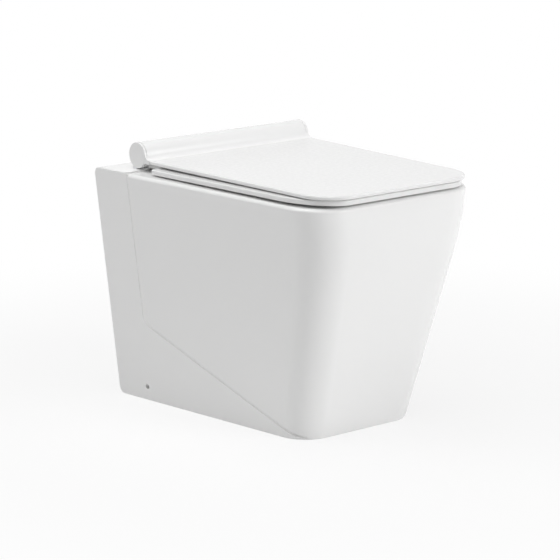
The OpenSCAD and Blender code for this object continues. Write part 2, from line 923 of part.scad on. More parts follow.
// The hole through the seat, flared at both faces
module seat_hole() {
    flare = [for (i = [0:edge_steps]) let (a = 90 * i / edge_steps) seat_edge_r * (1 - sin(a))];
    low = [for (i = [0:edge_steps]) let (a = 90 * i / edge_steps) seat_z + seat_edge_r * (1 - cos(a))];
    high = [for (i = [edge_steps:-1:0]) let (a = 90 * i / edge_steps) seat_top - seat_edge_r * (1 - cos(a))];
    grow = concat([seat_edge_r], flare, [for (i = [edge_steps:-1:0]) flare[i]], [seat_edge_r]);
    heights = concat([seat_z - over], low, high, [seat_top + over]);
    y = wall_y - hole_back - hole_l / 2;
    loft(
        [for (g = grow)
            let (w = hole_w / 2 + g, l = hole_l / 2 + g)
            rounded(
                [[w, y + l], [-w, y + l], [-w, y - l], [w, y - l]],
                [hole_r + g, hole_r + g, hole_r + g, hole_r + g], inner_steps_all
            )],
        heights
    );
}

// Buffers under the seat, standing on the rim
module seat_buffers() {
    color(buffer)
        for (side = [-1, 1]) {
            buffer_pad(side * (hole_w / 2 + buffer_side), seat_back + seat_buffer_back, rim_z, seat_gap);
            buffer_pad(side * seat_buffer_x, seat_depth - seat_buffer_in, rim_z, seat_gap);
        }
}

// Buffers under the lid, resting on the seat
module lid_buffers() {
    color(buffer)
        for (side = [-1, 1]) {
            buffer_pad(side * (hole_w / 2 + buffer_side), seat_back + lid_buffer_back, seat_top, lid_gap);
            buffer_pad(side * lid_buffer_x, seat_depth - lid_buffer_in, seat_top, lid_gap);
        }
}

// One pad with a round back and a square front that fills a gap from z upward
module buffer_pad(x, d, z, h) {
    translate([x, wall_y - d, z + pad_gap])
        linear_extrude(h - pad_gap) {
            circle(buffer_r);
            translate([-buffer_r, -buffer_r])
                square([buffer_r * 2, buffer_r]);
        }
}

// The barrel with its fillet down to the lid's upper face, as distance from the wall and height
module barrel_profile() {
    level = lid_top - axis_z;
    rise = level + fillet_r;
    reach = sqrt(pow(barrel_r + fillet_r, 2) - pow(rise, 2));
    start = atan2(rise, reach);
    translate([axis_d, axis_z]) {
        circle(barrel_r);
        polygon(concat(
            [[0, 0]],
            [for (i = [0:8]) let (a = mix(180 + start, 270, i / 8)) [reach + fillet_r * cos(a), rise + fillet_r * sin(a)]],
            [[reach, level - lid_t / 2], [reach, lid_z - axis_z], [lid_root, lid_z - axis_z]]
        ));
    }
}

module lid_plate() {
    profile = plate_profile(lid_z, lid_t, lid_edge_r);
    loft(
        [for (p = profile) tapered(
            lid_back_w - 2 * p[0], lid_taper, lid_back, depth - p[0], 0, lid_r - p[0]
        )],
        [for (p = profile) p[1]]
    );
}

module lid() {
    slot_from = 206;
    slot_to = 357;
    color(plastic)
        difference() {
            union() {
                difference() {
                    union() {
                        lid_plate();
                        across(cap_x * 2)
                            barrel_profile();
                    }
                    on_axis(-end_x + end_wall)
                        cylinder(h = 2 * (end_x - end_wall), r = barrel_in_r);
                }
            }
            for (side = [-1, 1])
                translate([side * lug_x, 0, 0])
                    lug_slot(slot_from, slot_to);
            for (side = [-1, 1])
                on_axis(side > 0 ? end_x : -end_x - cap_t * 3)
                    cylinder(h = cap_t * 3, r = barrel_r + cap_gap);
            on_axis(-end_x - over)
                cylinder(h = end_wall + 2 * over, r = bush_r + seat_fit);
            on_axis(end_x - end_wall - over)
                cylinder(h = end_wall + 2 * over, r = damper_r + seat_fit);
            on_axis(end_x - end_wall - over)
                translate([0, -key_w / 2 - seat_fit, 0])
                    cube([damper_r + key_h + seat_fit, key_w + 2 * seat_fit, end_wall + 2 * over]);
        }
}

// The slot that lets a seat lug swing inside the barrel. Angles run from the front over the bottom.
module lug_slot(from, to) {
    w = lug_w + 2 * lug_gap;
    far = barrel_r + fillet_r;
    across(w)
        translate([axis_d, axis_z])
            difference() {
                polygon(concat(
                    [[0, 0]],
                    [for (i = [0:12]) let (a = mix(from, to, i / 12)) [-far * cos(a), far * sin(a)]]
                ));
                circle(barrel_in_r - over);
            }
}

pan();
flush_seal();
floor_bracket_left();
floor_bracket_right();
floor_screws();
hinge_bracket_left();
hinge_bracket_right();
hinge_cap_left();
hinge_cap_right();
seat_damper_rotor();
lid_damper_rotor();
hinge_bolts();
hinge_washers();
hinge_sleeves();
hinge_nuts();
seat_ring();
seat_buffers();
seat_damper_body();
seat_bush();
lid();
lid_buffers();
lid_damper_body();
lid_bush();
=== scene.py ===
"""Looks of the back-to-wall toilet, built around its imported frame."""

import math

import bmesh
import bpy
from bpy.props import FloatProperty, FloatVectorProperty, PointerProperty
from mathutils import Matrix, Vector


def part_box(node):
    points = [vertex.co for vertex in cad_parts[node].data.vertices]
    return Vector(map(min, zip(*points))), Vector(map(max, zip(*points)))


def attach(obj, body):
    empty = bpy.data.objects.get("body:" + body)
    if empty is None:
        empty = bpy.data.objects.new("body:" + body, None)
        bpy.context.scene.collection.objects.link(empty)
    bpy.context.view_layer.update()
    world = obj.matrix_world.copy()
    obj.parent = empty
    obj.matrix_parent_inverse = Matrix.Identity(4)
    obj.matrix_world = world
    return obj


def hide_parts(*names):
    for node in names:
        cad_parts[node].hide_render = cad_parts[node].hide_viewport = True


bl_info = {
    "name": "Back-to-wall toilet",
    "version": (1, 0, 0),
    "blender": (4, 5, 0),
    "location": "3D View > Sidebar > Toilet",
    "description": "Dresses the toilet's pan, seat, lid and hinge in glaze, moulded plastic and steel",
    "category": "Object",
}

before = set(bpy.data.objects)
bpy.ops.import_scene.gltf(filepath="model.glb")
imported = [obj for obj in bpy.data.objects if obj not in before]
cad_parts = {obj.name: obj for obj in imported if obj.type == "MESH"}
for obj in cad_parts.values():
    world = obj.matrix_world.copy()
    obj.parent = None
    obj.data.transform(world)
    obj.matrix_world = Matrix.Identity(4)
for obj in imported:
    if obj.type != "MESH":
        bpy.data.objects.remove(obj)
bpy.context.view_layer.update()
WALL_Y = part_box("pan")[1].y
DECK_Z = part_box("pan")[1].z
OVER = 0.004  # how far a cutting shape runs past the face that it cuts
MOUTH_Z = DECK_Z + 0.001  # height at which the bowl reaches its full width
TOE_INSET = 0.002  # how far behind the skirt's foot the slanted crease meets the floor
BEARING_FIT = 0.00003  # clearance that is added to the radius of a bearing's bore
EDGE_STEPS = 5  # steps of the seat's and lid's rounded edges
BOWL_STEPS = 12  # steps of the bowl's corners


def length(name, description, default):
    """A size property in metres."""
    return FloatProperty(
        name=name, description=description, default=default, subtype="DISTANCE", unit="LENGTH"
    )


def share(name, description, default):
    """A property between 0 and 1."""
    return FloatProperty(name=name, description=description, default=default, min=0, max=1, subtype="FACTOR")


def ratio(name, description, default):
    """A plain number, such as a taper."""
    return FloatProperty(name=name, description=description, default=default)


def angle(name, description, degrees):
    """An angle, given in degrees."""
    return FloatProperty(name=name, description=description, default=math.radians(degrees), subtype="ANGLE")


def power(name, description, default):
    """The power of a lamp."""
    return FloatProperty(
        name=name, description=description, default=default, min=0, subtype="POWER", unit="POWER"
    )


def colour(name, description, default):
    """A colour property."""
    return FloatVectorProperty(
        name=name, description=description, default=default, min=0, max=1, subtype="COLOR", size=3
    )


class PanSizes(bpy.types.PropertyGroup):
    """Sizes of the glazed pan."""

    base_width: length("Base width", "Width of the skirt at the wall, on the floor", 0.336)
    base_taper: ratio("Base taper", "How fast the base narrows to the front", 0.213)
    base_depth: length("Base depth", "Distance of the skirt's front from the wall, on the floor", 0.432)
    base_round: length("Base corner", "Radius of the front corners on the floor", 0.051)
    rim_width: length("Rim width", "Width of the skirt at the wall, at the rim", 0.432)
    rim_taper: ratio("Rim taper", "How fast the rim narrows to the front", 0.162)
    rim_depth: length("Rim depth", "Distance of the rim's front from the wall", 0.524)
    rim_round: length("Rim corner", "Radius of the rim's front corners", 0.067)
    rim_height: length("Rim height", "Height of the rim's upper face", 0.3975)
    band: length("Rim band", "Height of the upright band under the rim", 0.032)
    bulge: length("Front bulge", "Radius of the front below the band", 0.240)
    rim_edge: length("Rim edge", "Height of the rim's rounded upper edge", 0.006)
    rim_fall: length("Rim fall", "Width over which the rim falls to its edge", 0.008)
    foot_edge: length("Foot edge", "Radius of the glazed edge at the floor", 0.0025)
    deck_depth: length("Deck depth", "Depth of the raised deck from the wall", 0.080)
    deck_edge: length("Deck edge", "Radius of the deck's upper edges", 0.002)
    deck_corner: length("Deck corner", "Radius of the deck's front corners", 0.010)
    rear_round: length("Rear corner", "Radius of the rear corners in the side view", 0.013)
    rear_edge: length("Rear edge", "Width of the soft edge round the back", 0.0025)
    step: length("Crease step", "How far the bowl body stands proud of the rear block", 0.0005)
    crease_back: length("Crease distance", "Distance of the upright crease from the wall", 0.081)
    crease_height: length("Crease height", "Height at which the crease turns to the foot", 0.141)
    crease_round: length("Crease bend", "Radius of the crease's bend", 0.022)
    groove: length("Groove width", "Width of the groove on the upright crease", 0.0040)
    groove_depth: length("Groove depth", "Depth of the groove on the upright crease", 0.0020)
    foot_groove: length("Foot groove width", "Width of the groove on the slanted crease", 0.0054)
    foot_groove_depth: length("Foot groove depth", "Depth of the groove on the slanted crease", 0.0030)
    wall: length("Wall", "Thickness of the skirt", 0.012)
    slab: length("Slab", "Thickness of the pan's top", 0.027)


class BowlSizes(bpy.types.PropertyGroup):
    """Sizes of the bowl, the trapway and the holes."""

    mouth_width: length("Mouth width", "Width of the bowl's mouth", 0.262)
    mouth_length: length("Mouth length", "Length of the bowl's mouth", 0.304)
    mouth_back: length("Mouth distance", "Distance of the mouth from the wall", 0.165)
    mouth_round: length("Mouth corner", "Radius of the mouth's corners", 0.075)
    mouth_edge: length("Mouth edge", "Radius of the mouth's soft edge", 0.007)
    sump_size: length("Sump size", "Width and length of the sump", 0.096)
    sump_back: length("Sump distance", "Distance of the sump's middle from the wall", 0.300)
    sump_height: length("Sump height", "Height of the sump's bottom", 0.038)
    sump_round: length("Sump round", "Radius of the sump's bottom", 0.030)
    shell: length("Shell", "Thickness of the bowl", 0.010)
    trap_radius: length("Trapway radius", "Inside radius of the trapway", 0.032)
    trap_wall: length("Trapway wall", "Thickness of the trapway", 0.009)
    trap_bend: length("Trapway bend", "Radius of the trapway's bend", 0.056)
    trap_angle: angle("Trapway angle", "Slope of the trapway's leg", 50)
    trap_leg: length("Trapway leg", "Length of the sloping leg", 0.122)
    trap_run: length("Trapway run", "Length behind the bend", 0.122)
    outlet_height: length("Outlet height", "Height of the outlet's middle", 0.185)
    outlet_radius: length("Outlet radius", "Outside radius of the outlet", 0.051)
    outlet_bore: length("Outlet bore", "Inside radius of the outlet", 0.042)
    outlet_length: length("Outlet length", "Length of the outlet's round end", 0.060)
    outlet_gap: length("Outlet gap", "Distance of the outlet from the wall", 0.012)
    inlet_height: length("Inlet height", "Height of the flush inlet's middle", 0.322)
    inlet_radius: length("Inlet radius", "Outside radius of the flush inlet", 0.037)
    inlet_bore: length("Inlet bore", "Inside radius of the flush inlet", 0.0275)
    inlet_gap: length("Inlet gap", "Distance of the flush inlet from the wall", 0.026)
    fixing_radius: length("Fixing hole", "Radius of the side fixing holes", 0.0045)
    fixing_height: length("Fixing height", "Height of the side fixing holes", 0.0245)
    fixing_back: length("Fixing distance", "Distance of the side fixing holes from the wall", 0.071)
    deck_hole: length("Deck hole", "Radius of the holes for the seat bolts", 0.008)
    bolt_spacing: length("Bolt spacing", "Distance between the seat bolts", 0.155)
    bolt_back: length("Bolt distance", "Distance of the seat bolts from the wall", 0.031)


class SeatSizes(bpy.types.PropertyGroup):
    """Sizes of the seat, the lid and their hinge."""

    seat_width: length("Seat width", "Width that the seat's sides would have at the wall", 0.390)
    seat_taper: ratio("Seat taper", "How fast the seat narrows to the front", 0.100)
    seat_back: length("Seat back", "Distance of the seat's back edge from the wall", 0.118)
    seat_front: length("Seat front", "Distance of the seat's front edge from the wall", 0.5295)
    seat_round: length("Seat corner", "Half-width of the seat's front corners", 0.067)
    seat_stretch: ratio("Corner stretch", "Length of the seat's front corners against their width", 1.7)
    seat_back_round: length("Seat back corner", "Radius of the seat's back corners", 0.006)
    seat_height: length("Seat height", "Height of the seat's lower face at the front", 0.4023)
    seat_drop: length("Seat drop", "How much lower the seat is at its back edge", 0.0025)
    seat_thick: length("Seat thickness", "Thickness of the seat", 0.0085)
    hole_width: length("Hole width", "Width of the seat's hole", 0.236)
    hole_length: length("Hole length", "Length of the seat's hole", 0.280)
    hole_back: length("Hole distance", "Distance of the seat's hole from the wall", 0.182)
    hole_round: length("Hole corner", "Radius of the hole's corners", 0.088)
    lid_width: length("Lid width", "Width that the lid's sides would have at the wall", 0.358)
    lid_taper: ratio("Lid taper", "How fast the lid narrows to the front", 0.0605)
    lid_front: length("Lid front", "Distance of the lid's front edge from the wall", 0.532)
    lid_round: length("Lid corner", "Radius of the lid's front corners", 0.062)
    lid_height: length("Lid height", "Height of the lid's lower face", 0.4118)
    lid_thick: length("Lid thickness", "Thickness of the lid", 0.0065)
    edge: length("Edge", "Radius of the seat's and lid's edges", 0.0025)
    axis_back: length("Hinge distance", "Distance of the hinge axis from the wall", 0.068)
    axis_height: length("Hinge height", "Height of the hinge axis", 0.4235)
    barrel: length("Barrel radius", "Outside radius of the lid's barrel", 0.0218)
    barrel_wall: length("Barrel wall", "Thickness of the barrel", 0.0036)
    barrel_length: length("Barrel length", "Length of the barrel over its caps", 0.354)
    fillet: length("Fillet", "Radius between the barrel and the lid", 0.012)
    cap: length("Cap", "Thickness of the round end caps", 0.0045)
    cap_gap: length("Cap gap", "Gap round the end caps", 0.0005)
    cap_edge: length("Cap edge", "Width of the cap's soft edge", 0.0008)
    end_wall: length("End wall", "Thickness of the barrel's ends", 0.006)
    pin: length("Pin radius", "Radius of the soft-close dampers", 0.009)
    bush: length("Bush radius", "Outside radius of the plain bearings", 0.011)
    lug_width: length("Lug width", "Width of the seat's hinge lugs", 0.014)
    lug_in: length("Lug distance", "Distance of the lugs from the barrel's ends", 0.014)
    lug_eye: length("Lug eye", "Radius of the lug's eye", 0.0145)
    lug_gap: length("Lug gap", "Gap beside each lug", 0.0012)


class Finishes(bpy.types.PropertyGroup):
    """Colours and gloss of the finishes."""

    glaze: colour("Glaze", "Colour of the glazed ceramic", (0.86, 0.86, 0.855))
    glaze_rough: share("Glaze roughness", "How matt the glaze is", 0.12)
    plastic: colour("Plastic", "Colour of the seat and lid", (0.87, 0.87, 0.868))
    plastic_rough: share("Plastic roughness", "How matt the plastic is", 0.22)
    steel: colour("Steel", "Colour of the hinge steel", (0.56, 0.57, 0.58))
    rubber: colour("Rubber", "Colour of the seals", (0.028, 0.028, 0.030))
    nylon: colour("Nylon", "Colour of the brackets and bearings", (0.72, 0.71, 0.66))
    buffer: colour("Buffer", "Colour of the soft buffers", (0.76, 0.76, 0.74))


class Studio(bpy.types.PropertyGroup):
    """The floor, the lamps and the camera."""

    ambient: ratio("Ambient", "Strength of the even light from all round", 0.22)
    key: power("Key lamp", "Power of the lamp in front on the right", 42.5)
    top: power("Top lamp", "Power of the wide lamp overhead", 51.0)
    fill: power("Fill lamp", "Power of the lamp behind on the left", 7.5)
    floor: colour("Floor", "Colour of the floor", (0.90, 0.90, 0.90))
    floor_glow: share("Floor white", "Share of plain white that is seen on the floor beside the toilet", 0.80)
    glow_from: length("White from", "Distance at which the floor starts to turn plain white", 0.45)
    glow_to: length("White to", "Distance from which the floor is plain white", 1.25)
    camera: FloatVectorProperty(
        name="Camera", description="Place of the camera",
        default=(-2.69874, -3.2046, 1.19946), subtype="XYZ", unit="LENGTH",
    )
    heading: angle("Heading", "Camera's turn from straight ahead to the right", 39.75)
    tilt: angle("Tilt", "Camera's angle below level", 13.15)
    lens: ratio("Lens", "Focal length on a 36 mm sensor, in millimetres", 166.72)


def settings():
    """The scene's own groups of sizes, by name."""
    return bpy.context.scene.toilet


# Shapes


def verts_of(geom):
    """The vertices in what a bmesh operator returns."""
    return [v for v in geom if isinstance(v, bmesh.types.BMVert)]


def edges_of(geom):
    """The edges in what a bmesh operator returns."""
    return [e for e in geom if isinstance(e, bmesh.types.BMEdge)]


def round_off(bm, geom, width, steps, affect="EDGES", clamp=False):
    """Rounds edges, or corners of an outline, over the given width."""
    bmesh.ops.bevel(
        bm, geom=geom, offset=width, offset_type="OFFSET", segments=steps,
        profile=0.5, affect=affect, material=-1, clamp_overlap=clamp,
    )


def outline(bm, corners, rounds, z, stretch=1.0):
    """Draws one closed outline at height z and returns its edges. A corner is rounded by (radius, steps)."""
    before = set(bm.edges)
    places = [Vector((x, y / stretch)) for x, y in corners]
    verts = [bm.verts.new((*place, z)) for place in places]
    bm.faces.new(verts)
    for i, (radius, steps) in enumerate(rounds):
        if radius <= 0:
            continue
        a = places[i - 1] - places[i]
        b = places[(i + 1) % len(places)] - places[i]
        round_off(bm, [verts[i]], radius / math.tan(a.angle(b) / 2), steps, "VERTICES")
    edges = [e for e in bm.edges if e not in before]
    faces = {f for e in edges for f in e.link_faces}
    bmesh.ops.delete(bm, geom=list(faces), context="FACES_ONLY")
    if stretch != 1.0:
        bmesh.ops.scale(bm, vec=(1, stretch, 1), verts=list({v for e in edges for v in e.verts}))
    return edges


def closed_stack(bm, rings):
    """Joins a stack of outlines into one closed shell."""
    for lower, upper in zip(rings, rings[1:]):
        bmesh.ops.bridge_loops(bm, edges=lower + upper)
    bmesh.ops.edgeloop_fill(bm, edges=rings[0])
    bmesh.ops.edgeloop_fill(bm, edges=rings[-1])
    bmesh.ops.recalc_face_normals(bm, faces=bm.faces)


def quarter(radius, steps, width=None):
    """Pairs of inset and rise round a quarter circle, or an ellipse of its own width, that ends level."""
    turns = [math.pi / 2 * i / steps for i in range(steps + 1)]
    return [((width or radius) * (1 - math.cos(a)), radius * math.sin(a)) for a in turns]


def edge_profile(low, high, edge):
    """Pairs of inset and height up a plate's edge, rounded at both faces."""
    profile = [(grow, low + edge - rise) for grow, rise in reversed(quarter(edge, EDGE_STEPS))]
    return profile + [(grow, high - edge + rise) for grow, rise in quarter(edge, EDGE_STEPS)]


def blend(a, b, t):
    """The value at a share t of the way from a to b."""
    return a + (b - a) * t


def tapered_corners(width, taper, back, front):
    """Corners of a plan that narrows to the front, from its back right one. Distances are from the wall."""
    near, far = (width - taper * back) / 2, (width - taper * front) / 2
    return [(near, WALL_Y - back), (-near, WALL_Y - back), (-far, WALL_Y - front), (far, WALL_Y - front)]


def shell(name, bm):
    """Makes a mesh object of a finished bmesh."""
    mesh = bpy.data.meshes.new(name)
    bm.to_mesh(mesh)
    bm.free()
    obj = bpy.data.objects.new(name, mesh)
    bpy.context.scene.collection.objects.link(obj)
    return obj


def merge(obj, other, operation):
    """Adds, cuts or crosses obj with another shell, which is used up."""
    modifier = obj.modifiers.new("merge", "BOOLEAN")
    modifier.object = other
    modifier.operation = operation
    modifier.solver = "EXACT"
    graph = bpy.context.evaluated_depsgraph_get()
    mesh = bpy.data.meshes.new_from_object(obj.evaluated_get(graph))
    old = obj.data
    obj.modifiers.clear()
    obj.data = mesh
    bpy.data.meshes.remove(old)
    bpy.data.objects.remove(other)
    if not obj.data.polygons:
        raise RuntimeError(f"{obj.name} is empty after {operation}")
    return obj


def rod(name, place, axis, radius, depth, steps=64, edge=0.0):
    """A round bar whose middle is at place, along the axis x, y or z, with softened ends."""
    bm = bmesh.new()
    bmesh.ops.create_cone(bm, cap_ends=True, segments=steps, radius1=radius, radius2=radius, depth=depth)
    if edge:
        rims = [e for e in bm.edges if abs(e.verts[0].co.z - e.verts[1].co.z) < 1e-6]
        round_off(bm, rims, edge, 3)
    turn = Matrix.Identity(4) if axis == "z" else Matrix.Rotation(math.pi / 2, 4, {"x": "Y", "y": "X"}[axis])
    bmesh.ops.transform(bm, matrix=Matrix.Translation(place) @ turn, verts=bm.verts)
    return shell(name, bm)


def bar(name, low, high):
    """A block between two corners, used only to cut."""
    bm = bmesh.new()
    bmesh.ops.create_cube(bm, size=1)
    bmesh.ops.scale(bm, vec=Vector(high) - Vector(low), verts=bm.verts)
    bmesh.ops.translate(bm, vec=(Vector(high) + Vector(low)) / 2, verts=bm.verts)
    return shell(name, bm)


def side_cut(bm, normal, point):
    """Cuts a shell by a plane that runs across it, keeps what normal points to, and closes the cut.

    The normal and the point are pairs of distance from the wall and height.
    """
    geom = bm.verts[:] + bm.edges[:] + bm.faces[:]
    place, facing = (0, WALL_Y - point[0], point[1]), (0, -normal[0], normal[1])
    cut = bmesh.ops.bisect_plane(bm, geom=geom, dist=1e-7, plane_co=place, plane_no=facing, clear_inner=True)
    edges = [e for e in edges_of(cut["geom_cut"]) if e.is_boundary]
    if edges:
        bmesh.ops.edgeloop_fill(bm, edges=edges)


def arc_cuts(bm, centre, radius, start, end, steps):
    """Rounds a corner in the side view by planes whose kept sides turn from angle start to end."""
    for i in range(steps + 1):
        a = blend(start, end, i / steps)
        inward = (math.cos(a), math.sin(a))
        side_cut(bm, inward, (centre[0] - radius * inward[0], centre[1] - radius * inward[1]))


def finish_piece(obj, name, body, slot, material, *nodes, crisp=40):
    """Names and smooths a piece, keeps edges over crisp degrees sharp, and ties it to the frame."""
    obj.name = name
    obj.data.name = name
    obj.data.materials.clear()
    obj.data.materials.append(material)
    obj.data.polygons.foreach_set("use_smooth", [True] * len(obj.data.polygons))
    obj.data.set_sharp_from_angle(angle=math.radians(crisp))
    obj.data.update()
    weights = obj.modifiers.new("weights", "WEIGHTED_NORMAL")
    weights.keep_sharp = True
    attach(obj, body)
    if nodes:
        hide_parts(*nodes)
    return obj


# Finishes


def put(node, **values):
    """Sets a node's sockets, with an underscore for each space in their names."""
    for name, value in values.items():
        node.inputs[name.replace("_", " ")].default_value = value
    return node


def surface(name, base, rough):
    """A new material with its shader and the object's own coordinates."""
    material = bpy.data.materials.new(name)
    material.use_nodes = True
    nodes, links = material.node_tree.nodes, material.node_tree.links
    shader = put(nodes["Principled BSDF"], Base_Color=(*base, 1), Roughness=rough)
    place = nodes.new("ShaderNodeTexCoord").outputs["Object"]
    return material, nodes, links, shader, place


def noise(nodes, links, place, scale, detail, roughness=0.5):
    """The value of a noise texture on the given coordinates."""
    texture = put(nodes.new("ShaderNodeTexNoise"), Scale=scale, Detail=detail, Roughness=roughness)
    links.new(place, texture.inputs["Vector"])
    return texture.outputs["Fac"]


def gloss(nodes, links, source, low, high, shader):
    """Varies the roughness between low and high with a texture's value."""
    span = put(nodes.new("ShaderNodeMapRange"), From_Min=0.3, From_Max=0.7, To_Min=low, To_Max=high)
    links.new(source, span.inputs["Value"])
    links.new(span.outputs["Result"], shader.inputs["Roughness"])


def tint(nodes, links, source, base, darker, lighter, shader):
    """Varies the colour with a texture's value, between the base made darker and lighter by two factors."""
    mix = nodes.new("ShaderNodeMix")
    mix.data_type = "RGBA"
    for end, factor in (("A", darker), ("B", lighter)):
        mix.inputs[end].default_value = (*(min(1.0, c * factor) for c in base), 1)
    links.new(source, mix.inputs["Factor"])
    links.new(mix.outputs["Result"], shader.inputs["Base Color"])


def ripple(nodes, links, source, height, shader):
    """Turns a texture into small bumps, with their height in metres."""
    bump = put(nodes.new("ShaderNodeBump"), Strength=1.0, Distance=height)
    links.new(source, bump.inputs["Height"])
    links.new(bump.outputs["Normal"], shader.inputs["Normal"])


def glaze_finish():
    """Vitreous glaze: a clear coat over white body, with faint waves and pooling."""
    f = settings().finishes
    material, nodes, links, shader, place = surface("glaze", f.glaze, f.glaze_rough)
    put(shader, IOR=1.5, Coat_Weight=0.6, Coat_Roughness=0.04)
    pooling = noise(nodes, links, place, 7, 4)
    tint(nodes, links, pooling, f.glaze, 0.985, 1.01, shader)
    speckle = noise(nodes, links, place, 90, 3)
    gloss(nodes, links, speckle, f.glaze_rough * 0.8, f.glaze_rough * 1.25, shader)
    waves = noise(nodes, links, place, 22, 2)
    ripple(nodes, links, waves, 0.00012, shader)
    return material


def plastic_finish():
    """Moulded thermoset plastic with a polished face and a very fine grain."""
    f = settings().finishes
    material, nodes, links, shader, place = surface("plastic", f.plastic, f.plastic_rough)
    put(shader, IOR=1.5)
    cloud = noise(nodes, links, place, 11, 5)
    tint(nodes, links, cloud, f.plastic, 0.988, 1.008, shader)
    haze = noise(nodes, links, place, 160, 3)
    gloss(nodes, links, haze, f.plastic_rough * 0.85, f.plastic_rough * 1.2, shader)
    grain = noise(nodes, links, place, 900, 2)
    ripple(nodes, links, grain, 0.000004, shader)
    return material


def steel_finish():
    """Stainless steel with fine brushed lines along the hinge."""
    f = settings().finishes
    material, nodes, links, shader, place = surface("steel", f.steel, 0.3)
    put(shader, Metallic=1.0)
    lines = put(nodes.new("ShaderNodeMapping"), Scale=(40, 1400, 1400))
    links.new(place, lines.inputs["Vector"])
    brushed = noise(nodes, links, lines.outputs["Vector"], 1, 4)
    gloss(nodes, links, brushed, 0.22, 0.42, shader)
    tint(nodes, links, brushed, f.steel, 0.9, 1.08, shader)
    ripple(nodes, links, brushed, 0.000006, shader)
    return material


def rubber_finish():
    """Dark moulded rubber with a dusty bloom."""
    f = settings().finishes
    material, nodes, links, shader, place = surface("rubber", f.rubber, 0.6)
    bloom = noise(nodes, links, place, 60, 6, 0.6)
    tint(nodes, links, bloom, f.rubber, 1.0, 2.2, shader)
    gloss(nodes, links, bloom, 0.5, 0.75, shader)
    pores = noise(nodes, links, place, 1400, 2)
    ripple(nodes, links, pores, 0.00001, shader)
    return material


def nylon_finish():
    """Off-white moulded nylon, a little cloudy."""
    f = settings().finishes
    material, nodes, links, shader, place = surface("nylon", f.nylon, 0.42)
    cloud = noise(nodes, links, place, 45, 5)
    tint(nodes, links, cloud, f.nylon, 0.93, 1.05, shader)
    gloss(nodes, links, cloud, 0.36, 0.5, shader)
    grain = noise(nodes, links, place, 1100, 2)
    ripple(nodes, links, grain, 0.000012, shader)
    return material


def buffer_finish():
    """Soft matt buffers, faintly marked where they press."""
    f = settings().finishes
    material, nodes, links, shader, place = surface("buffer", f.buffer, 0.55)
    marks = noise(nodes, links, place, 120, 5, 0.6)
    tint(nodes, links, marks, f.buffer, 0.94, 1.04, shader)
    gloss(nodes, links, marks, 0.48, 0.64, shader)
    grain = noise(nodes, links, place, 1600, 2)
    ripple(nodes, links, grain, 0.000012, shader)
    return material


FINISHES = {
    "glaze": glaze_finish, "plastic": plastic_finish, "steel": steel_finish,
    "rubber": rubber_finish, "nylon": nylon_finish, "buffer": buffer_finish,
}


def finish(name):
    """The named material, made the first time that a piece asks for it."""
    return bpy.data.materials.get(name) or FINISHES[name]()


def dress(finish_name, *nodes):
    """Gives frame nodes that keep their own shape a finish."""
    for node in nodes:
        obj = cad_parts[node]
        obj.data.materials.clear()
        obj.data.materials.append(finish(finish_name))


# The pan


def skirt_front(p, z):
    """Distance of the skirt's front from the wall at height z."""
    upright = p.rim_height - p.band
    run = p.rim_depth - p.bulge - p.base_depth
    lean = math.atan2(run, upright) + math.asin(p.bulge / math.hypot(run, upright))
    if z >= upright:
        return p.rim_depth
    if z <= upright - p.bulge * math.sin(lean):
        return p.base_depth + z * math.tan(lean)
    return p.rim_depth - p.bulge + math.sqrt(p.bulge ** 2 - (upright - z) ** 2)


def skirt_ring(bm, p, z, inset, back=0.0, steps=16):
    """The skirt's outline at height z, moved in by inset."""
    t = min(max(z, 0), DECK_Z) / DECK_Z
    width, taper = blend(p.base_width, p.rim_width, t), blend(p.base_taper, p.rim_taper, t)
    front = skirt_front(p, max(z, 0)) - inset
    corner = (blend(p.base_round, p.rim_round, t) - inset, steps)
    corners = tapered_corners(width - 2 * inset, taper, back, front)
    return outline(bm, corners, [(0, 1), (0, 1), corner, corner], z)


def skirt_levels(p, low, high, steps=18):
    """Heights from low to high, closer together where the front curves."""
    upright = p.rim_height - p.band
    heights = [blend(low, high, i / steps) for i in range(steps + 1)]
    return sorted(set(heights + ([upright] if low < upright < high else [])))


def skirt_shell(p, top, inset, edge, fall=None):
    """A closed skirt up to the height top, with a soft foot and upper edge."""
    bm = bmesh.new()
    foot = reversed(quarter(p.foot_edge, 3))
    rings = [skirt_ring(bm, p, p.foot_edge - rise, inset + grow) for grow, rise in foot]
    rings += [skirt_ring(bm, p, z, inset) for z in skirt_levels(p, p.foot_edge, top - edge)[1:-1]]
    rings += [skirt_ring(bm, p, top - edge + rise, inset + grow) for grow, rise in quarter(edge, 10, fall)]
    closed_stack(bm, rings)
    return bm


def crease_bend(p):
    """The middle of the crease's bend in the side view, and the angle through which the crease turns."""
    slope = math.atan2(p.base_depth - TOE_INSET - p.crease_back, p.crease_height)
    height = p.crease_height + p.crease_round * (1 - math.cos(slope)) / math.sin(slope)
    return (p.crease_back + p.crease_round, height), slope


def bowl_body(p):
    """The body of the pan in front of the crease."""
    bm = skirt_shell(p, p.rim_height, 0.0, p.rim_edge, p.rim_fall)
    middle, slope = crease_bend(p)
    arc_cuts(bm, middle, p.crease_round, 0.0, slope, 8)
    return shell("bowl body", bm)


def crease_path(p):
    """Places down the crease, from the rim's edge to the foot.

    Each is its distance from the wall, its height and its share of the slanted groove's size.
    """
    (side, height), slope = crease_bend(p)
    start = p.rim_height - p.rim_edge
    over_edge, upright, bend, slanted = (40, 30, 20, 10), 16, 8, 24
    path = [(p.crease_back, start + p.rim_edge * math.sin(math.radians(a)), 0.0) for a in over_edge]
    path += [(p.crease_back, blend(start, height, i / upright), 0.0) for i in range(upright)]
    for i in range(bend + 1):
        a = slope * i / bend
        path.append((side - p.crease_round * math.cos(a), height - p.crease_round * math.sin(a), i / bend))
    back, low, _ = path[-1]
    toe = p.base_depth - TOE_INSET
    path += [(blend(back, toe, i / slanted), blend(low, 0.0, i / slanted), 1.0) for i in range(1, slanted)]
    return path


